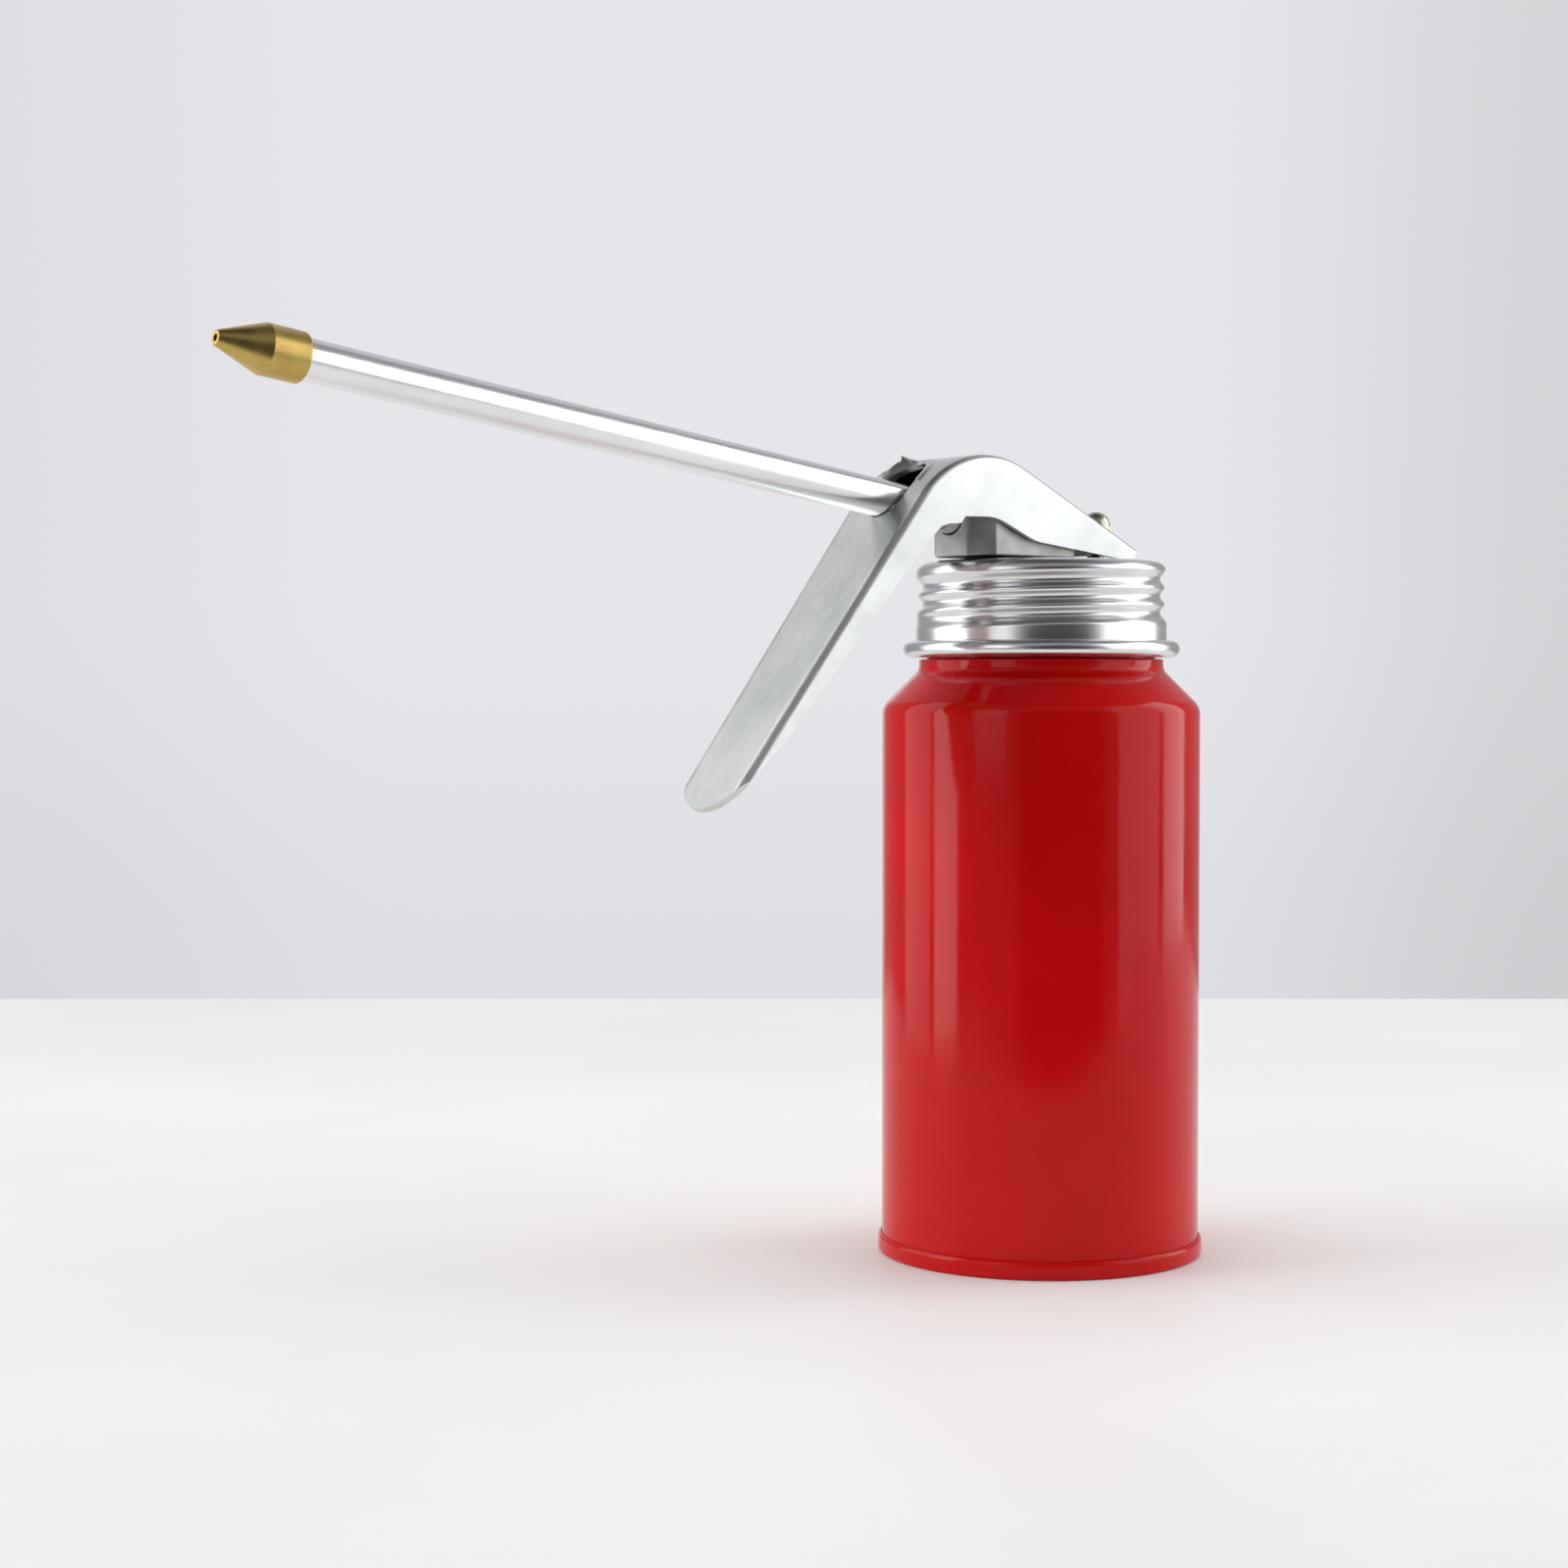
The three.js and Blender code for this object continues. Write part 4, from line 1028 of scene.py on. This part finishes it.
def on_web(start):
    """Where a line along the spout from a point of the middle plane meets the web, and its normal."""
    off = start - apex_centre
    b = off.dot(plane_way)
    c = off.length_squared - APEX_R**2
    meet = off + plane_way * (-b + math.sqrt(max(b * b - c, 0)))
    if meet.angle_signed(PLANE_UP, 0) < 0 and meet.angle(PLANE_UP) > FRONT_SLOPE:
        to_front = (front_bend - start).dot(front_normal) / plane_way.dot(front_normal)
        meet = off + plane_way * to_front
    normal = meet.normalized()
    if normal.angle(PLANE_UP) > FRONT_SLOPE:
        normal = front_normal
    return meet + apex_centre, normal


lip = bmesh.new()
lip_rows = []
for i in range(LIP_STEPS + 1):
    a = math.radians(LIP_START + LIP_SWING * i / LIP_STEPS)
    past_round = max(0.0, a - math.pi / 2)
    peak = math.exp(-(((a - LIP_PEAK) / LIP_PEAK_SPREAD) ** 2))
    far_side = step_up(a, *LIP_RISES) * (1 - step_up(a, *LIP_FALLS))
    ragged = 1 + 0.1 * math.sin(i * 1.9) + 0.06 * math.sin(i * 3.7)
    rise = LIP_H * (LIP_LEAST + LIP_FAR_SHARE * far_side + LIP_PEAK_SHARE * peak) * ragged
    lip_row = []
    for r, h in (
        (SLOT_R + 0.02, -LIP_ROOT),
        (SLOT_R + 0.02, rise * 0.8),
        (SLOT_R + 0.2 * LIP_T, rise),
        (SLOT_R + 0.6 * LIP_T, rise * 0.92),
        (SLOT_R + 0.95 * LIP_T, 0.3),
        (SLOT_R + 1.5 * LIP_T, -0.25),
        (SLOT_R + 1.5 * LIP_T, -LIP_ROOT),
    ):
        across = r * math.sin(a - past_round)
        high = slot_high + r * math.cos(a - past_round) - SLOT_R * past_round
        start = spout_frame @ Vector((high, across, 0))
        meet, normal = on_web(Vector((start.x, start.z)))
        spot = meet + normal * h
        lip_row.append(lip.verts.new((spot.x, across, spot.y)))
    lip_rows.append(lip_row)
closed_strip(lip, lip_rows)
lip_object = helper_object("lever_lip", lip)

# Notch for the stud, open at the back
NOTCH_R, NOTCH_SIDES, NOTCH_OUT = 1.7, 24, 10
NOTCH_LOW, NOTCH_HIGH = 108, 132
notch_line = circle(STUD_X, 0, NOTCH_R, NOTCH_SIDES, math.pi / 2, 1.5 * math.pi)
notch_line += [(STUD_X + NOTCH_OUT, -NOTCH_R), (STUD_X + NOTCH_OUT, NOTCH_R)]
notch_object = helper_object("lever_notch", prism(notch_line, NOTCH_LOW, NOTCH_HIGH, upright))
lever = combine(
    sheet_object,
    ("DIFFERENCE", run_out_object),
    ("DIFFERENCE", tip_object),
    ("UNION", lip_object),
    ("DIFFERENCE", slot_object),
    ("DIFFERENCE", notch_object),
)
# Corners closer together than this are one corner after the cuts
SPECK = 0.002
bmesh.ops.remove_doubles(lever, verts=lever.verts, dist=SPECK)


def on_tip_round(vertex):
    """Whether a vertex lies on the round that ends the trigger."""
    along = (Vector((vertex.co.x, vertex.co.z)) - front_bend).dot(front_along) - tip_x
    return along > 0.05 and abs(math.hypot(along, vertex.co.y) - tip_r) < 0.03


TIP_ROUND = 0.16
tip_edges = [
    edge
    for edge in lever.edges
    if all(on_tip_round(v) for v in edge.verts)
    and len(edge.link_faces) == 2
    and edge.calc_face_angle() > math.radians(45)
]
bmesh.ops.bevel(
    lever, geom=tip_edges, offset=TIP_ROUND, segments=2, affect="EDGES", clamp_overlap=True
)
# Faces inside the channel round the block, behind this x, get painted shade: a dark grey stands for the
# shade under the flanges
SHADE_FROM_X = -25
bmesh.ops.recalc_face_normals(lever, faces=lever.faces)
inside_layer = lever.faces.layers.float.new("inside")
inner_half = LEVER_W / 2 - LEVER_SHEET
for face in lever.faces:
    spot = face.calc_center_median()
    off_middle = abs(spot.y)
    faces_down = face.normal.z < -0.25 and off_middle < inner_half + 0.1
    inward = -face.normal.y * math.copysign(1, spot.y)
    faces_in = inward > 0.5 and off_middle < inner_half + 0.25
    face[inside_layer] = 1.0 if spot.x > SHADE_FROM_X and (faces_down or faces_in) else 0.0
piece("lever_skin", lever, "zinc_plate", "lever", ["lever"], sharp=38)

# Stud that holds the lever down at the back
STUD_FOOT, STUD_TOP = 109.8, 121.1
STUD_R, STUD_ROOT_R, STUD_SIDES = 1.5, 1.25, 48
STUD_PITCH, STUD_RISE = 0.5, 0.25
LOWER_TURNS, UPPER_TURNS = 7, 11
COLLAR_FOOT, COLLAR_TOP = 114.1, 114.9
COLLAR_R, COLLAR_CUT = 2.5, 0.15
at_stud = Matrix.Translation((STUD_X, 0, 0))
stud_profile = [
    (0, STUD_FOOT),
    (STUD_R - 0.3, STUD_FOOT),
    (STUD_R, STUD_FOOT + 0.3),
    *thread(STUD_FOOT + 0.42, LOWER_TURNS, STUD_PITCH, STUD_RISE, STUD_ROOT_R, STUD_R),
    (STUD_R, COLLAR_FOOT),
    (COLLAR_R - COLLAR_CUT, COLLAR_FOOT),
    (COLLAR_R, COLLAR_FOOT + COLLAR_CUT),
    (COLLAR_R, COLLAR_TOP - COLLAR_CUT),
    (COLLAR_R - COLLAR_CUT, COLLAR_TOP),
    (STUD_R, COLLAR_TOP),
    *thread(COLLAR_TOP + 0.22, UPPER_TURNS, STUD_PITCH, STUD_RISE, STUD_ROOT_R, STUD_R),
    (STUD_R - 0.2, STUD_TOP),
    (0, STUD_TOP),
]
stud = turned(stud_profile, STUD_SIDES, False)
piece("fulcrum_stud_skin", stud, "bright_steel", "cap", ["fulcrum_stud"], at_stud)

# Dome nut on the stud: ball foot, hexagon and dome
NUT_FOOT, NUT_TOP, NUT_SIDES = 117.6, 122.9, 64
NUT_BORE_R, NUT_BORE_TOP, NUT_BORE_EDGE = 1.65, 121.15, 0.62
BALL_R, DOME_R = 2.5, 2.4
HEX_FLAT, HEX_ROUND = 2.5, 0.18
HEX_FOOT, HEX_TOP = NUT_FOOT + 1, NUT_FOOT + 2.8
ball_z = NUT_FOOT + BALL_R
dome_z = NUT_TOP - DOME_R
dome_profile = [
    (0, NUT_BORE_TOP),
    (NUT_BORE_R, NUT_BORE_TOP),
    (NUT_BORE_R, NUT_FOOT + NUT_BORE_EDGE),
    *on_circle(ball_z, BALL_R, (-45, -38, -30)),
    (DOME_R, ball_z),
    *on_circle(dome_z, DOME_R, range(0, 90, 9)),
    (0, NUT_TOP),
]
dome_object = helper_object("dome_turned", turned(dome_profile, NUT_SIDES, False))
hexagon = prism(circle(0, 0, HEX_FLAT / math.cos(math.pi / 6), 6), HEX_FOOT, HEX_TOP, upright)
hexagon_object = softened("dome_hex", helper_object("dome_hex_blank", hexagon), HEX_ROUND, 2, 30)
core_object = helper_object("dome_core", pin(NUT_BORE_R, NUT_FOOT - PAST, NUT_BORE_TOP, NUT_SIDES))
dome = combine(dome_object, ("UNION", hexagon_object), ("DIFFERENCE", core_object))
dome_nut = piece("dome_nut_skin", dome, "brass", "cap", ["dome_nut"], at_stud, 30)
dome_nut.data.materials[0] = pale_brass()

# Stage: a pale table in front of a pale wall
FLOOR_FAR, FLOOR_NEAR = 0.385, 0.24
FLOOR_LEFT, FLOOR_RIGHT = 0.31, 0.6
look_flat = Vector((CAMERA_LOOK.x, CAMERA_LOOK.y, 0)).normalized()
look_right = Vector((look_flat.y, -look_flat.x, 0))
middle = Vector((CAN_X * MM, 0, 0))
floor_mesh = bpy.data.meshes.new("floor")
floor_corners = [
    middle + look_flat * FLOOR_FAR - look_right * FLOOR_LEFT,
    middle + look_flat * FLOOR_FAR + look_right * FLOOR_RIGHT,
    middle - look_flat * FLOOR_NEAR + look_right * FLOOR_RIGHT,
    middle - look_flat * FLOOR_NEAR - look_right * FLOOR_LEFT,
]
floor_mesh.from_pydata([tuple(c) for c in floor_corners], [], [(3, 2, 1, 0)])
floor = bpy.data.objects.new("floor", floor_mesh)
scene.collection.objects.link(floor)
table = Nodes("pale_table").set(Metallic=0.0, Specular_IOR_Level=0.2)
table.colours(table.noise(6, 4), linear(242, 242, 240), linear(248, 248, 247))
table.rough(table.noise(20, 3), 0.5, 0.6)
floor_mesh.materials.append(table.material)

# World: a pale surround that darkens towards the side where the camera stands
world = bpy.data.worlds.new("surround")
scene.world = world
world.use_nodes = True
sky = world.node_tree
sky.nodes.clear()


def sky_node(kind, **settings):
    node = sky.nodes.new(kind)
    for key, value in settings.items():
        setattr(node, key, value)
    return node


way = sky_node("ShaderNodeTexCoord").outputs["Generated"]


def toward(direction, near, far, low, high):
    """A level that goes from low to high between two angles, in degrees, from a direction."""
    facing = sky_node("ShaderNodeVectorMath", operation="DOT_PRODUCT")
    facing.inputs[1].default_value = tuple(direction)
    sky.links.new(way, facing.inputs[0])
    level = sky_node("ShaderNodeMapRange", interpolation_type="SMOOTHSTEP")
    level.inputs["From Min"].default_value = math.cos(math.radians(far))
    level.inputs["From Max"].default_value = math.cos(math.radians(near))
    level.inputs["To Min"].default_value = low
    level.inputs["To Max"].default_value = high
    sky.links.new(facing.outputs["Value"], level.inputs["Value"])
    return level.outputs["Result"]


def product(*levels):
    """The levels multiplied."""
    total = levels[0]
    for level in levels[1:]:
        times = sky_node("ShaderNodeMath", operation="MULTIPLY")
        sky.links.new(total, times.inputs[0])
        sky.links.new(level, times.inputs[1])
        total = times.outputs[0]
    return total


def background(colour, strength):
    node = sky_node("ShaderNodeBackground")
    node.inputs["Color"].default_value = colour
    if isinstance(strength, float):
        node.inputs["Strength"].default_value = strength
    else:
        sky.links.new(strength, node.inputs["Strength"])
    return node.outputs["Background"]


def choose(test, yes, no):
    """One shader where a ray passes a test, and another where it doesn't."""
    node = sky_node("ShaderNodeMixShader")
    sky.links.new(test, node.inputs["Fac"])
    sky.links.new(no, node.inputs[1])
    sky.links.new(yes, node.inputs[2])
    return node.outputs["Shader"]


WALL_COLOUR = linear(230, 230, 234)
FILL_COLOUR, FILL_LEVEL = (0.97, 0.98, 1.0, 1.0), 0.3
DARK_TURN = math.radians(10.5)
dark_way = -look_flat * math.cos(DARK_TURN) + look_right * math.sin(DARK_TURN)
up = Vector((0, 0, 1))
up_behind = (look_flat + up).normalized()
wall = background(
    WALL_COLOUR,
    product(
        toward(look_right, 74, 83, 1.0, 0.83),
        toward(-look_right, 74, 83, 1.0, 0.93),
        toward(-up, 84, 92, 1.0, 0.93),
    ),
)
room = background(
    WALL_COLOUR,
    product(
        toward(dark_way, 27, 35, 1.0, 0.17),
        toward(look_flat, 12, 24, 0.42, 1.0),
        toward(up_behind, 20, 40, 1.0, 1.9),
        toward(up, 12, 40, 1.0, 0.2),
    ),
)
fill = background(FILL_COLOUR, FILL_LEVEL)
ray = sky_node("ShaderNodeLightPath").outputs
sky_out = sky_node("ShaderNodeOutputWorld")
seen = choose(ray["Is Glossy Ray"], room, fill)
seen = choose(ray["Is Transmission Ray"], room, seen)
seen = choose(ray["Is Camera Ray"], wall, seen)
sky.links.new(seen, sky_out.inputs["Surface"])

# Soft boxes round the can, turned to this height on it
AIM_Z = 0.08


def soft_box(name, turn, distance, height, size, power):
    """An area lamp at an angle from the camera, in degrees to the camera's right."""
    data = bpy.data.lights.new(name, "AREA")
    data.shape = "RECTANGLE"
    data.size, data.size_y = size
    data.energy = power
    made = bpy.data.objects.new(name, data)
    a = math.radians(turn)
    target = middle + Vector((0, 0, AIM_Z))
    made.location = middle + (-look_flat * math.cos(a) + look_right * math.sin(a)) * distance
    made.location.z = height
    made.rotation_mode = "QUATERNION"
    made.rotation_quaternion = (target - made.location).to_track_quat("-Z", "Y")
    scene.collection.objects.link(made)
    return made


soft_box("left_core", -76, 1.0, 0.3, (0.38, 1.1), 4.6)
soft_box("left_wide", -104, 1.0, 0.42, (0.57, 1.3), 3.4)
soft_box("slim_box", -41, 1.0, 0.35, (0.42, 0.6), 0.85)
soft_box("right_wide", 70, 1.0, 0.4, (0.73, 1.07), 3.25)
soft_box("right_core", 106, 1.0, 0.34, (0.5, 1.2), 5.0)
soft_box("top_box", 180, 0.2, 1.2, (0.9, 0.9), 5.2).visible_glossy = False

scene.view_settings.view_transform = "Standard"
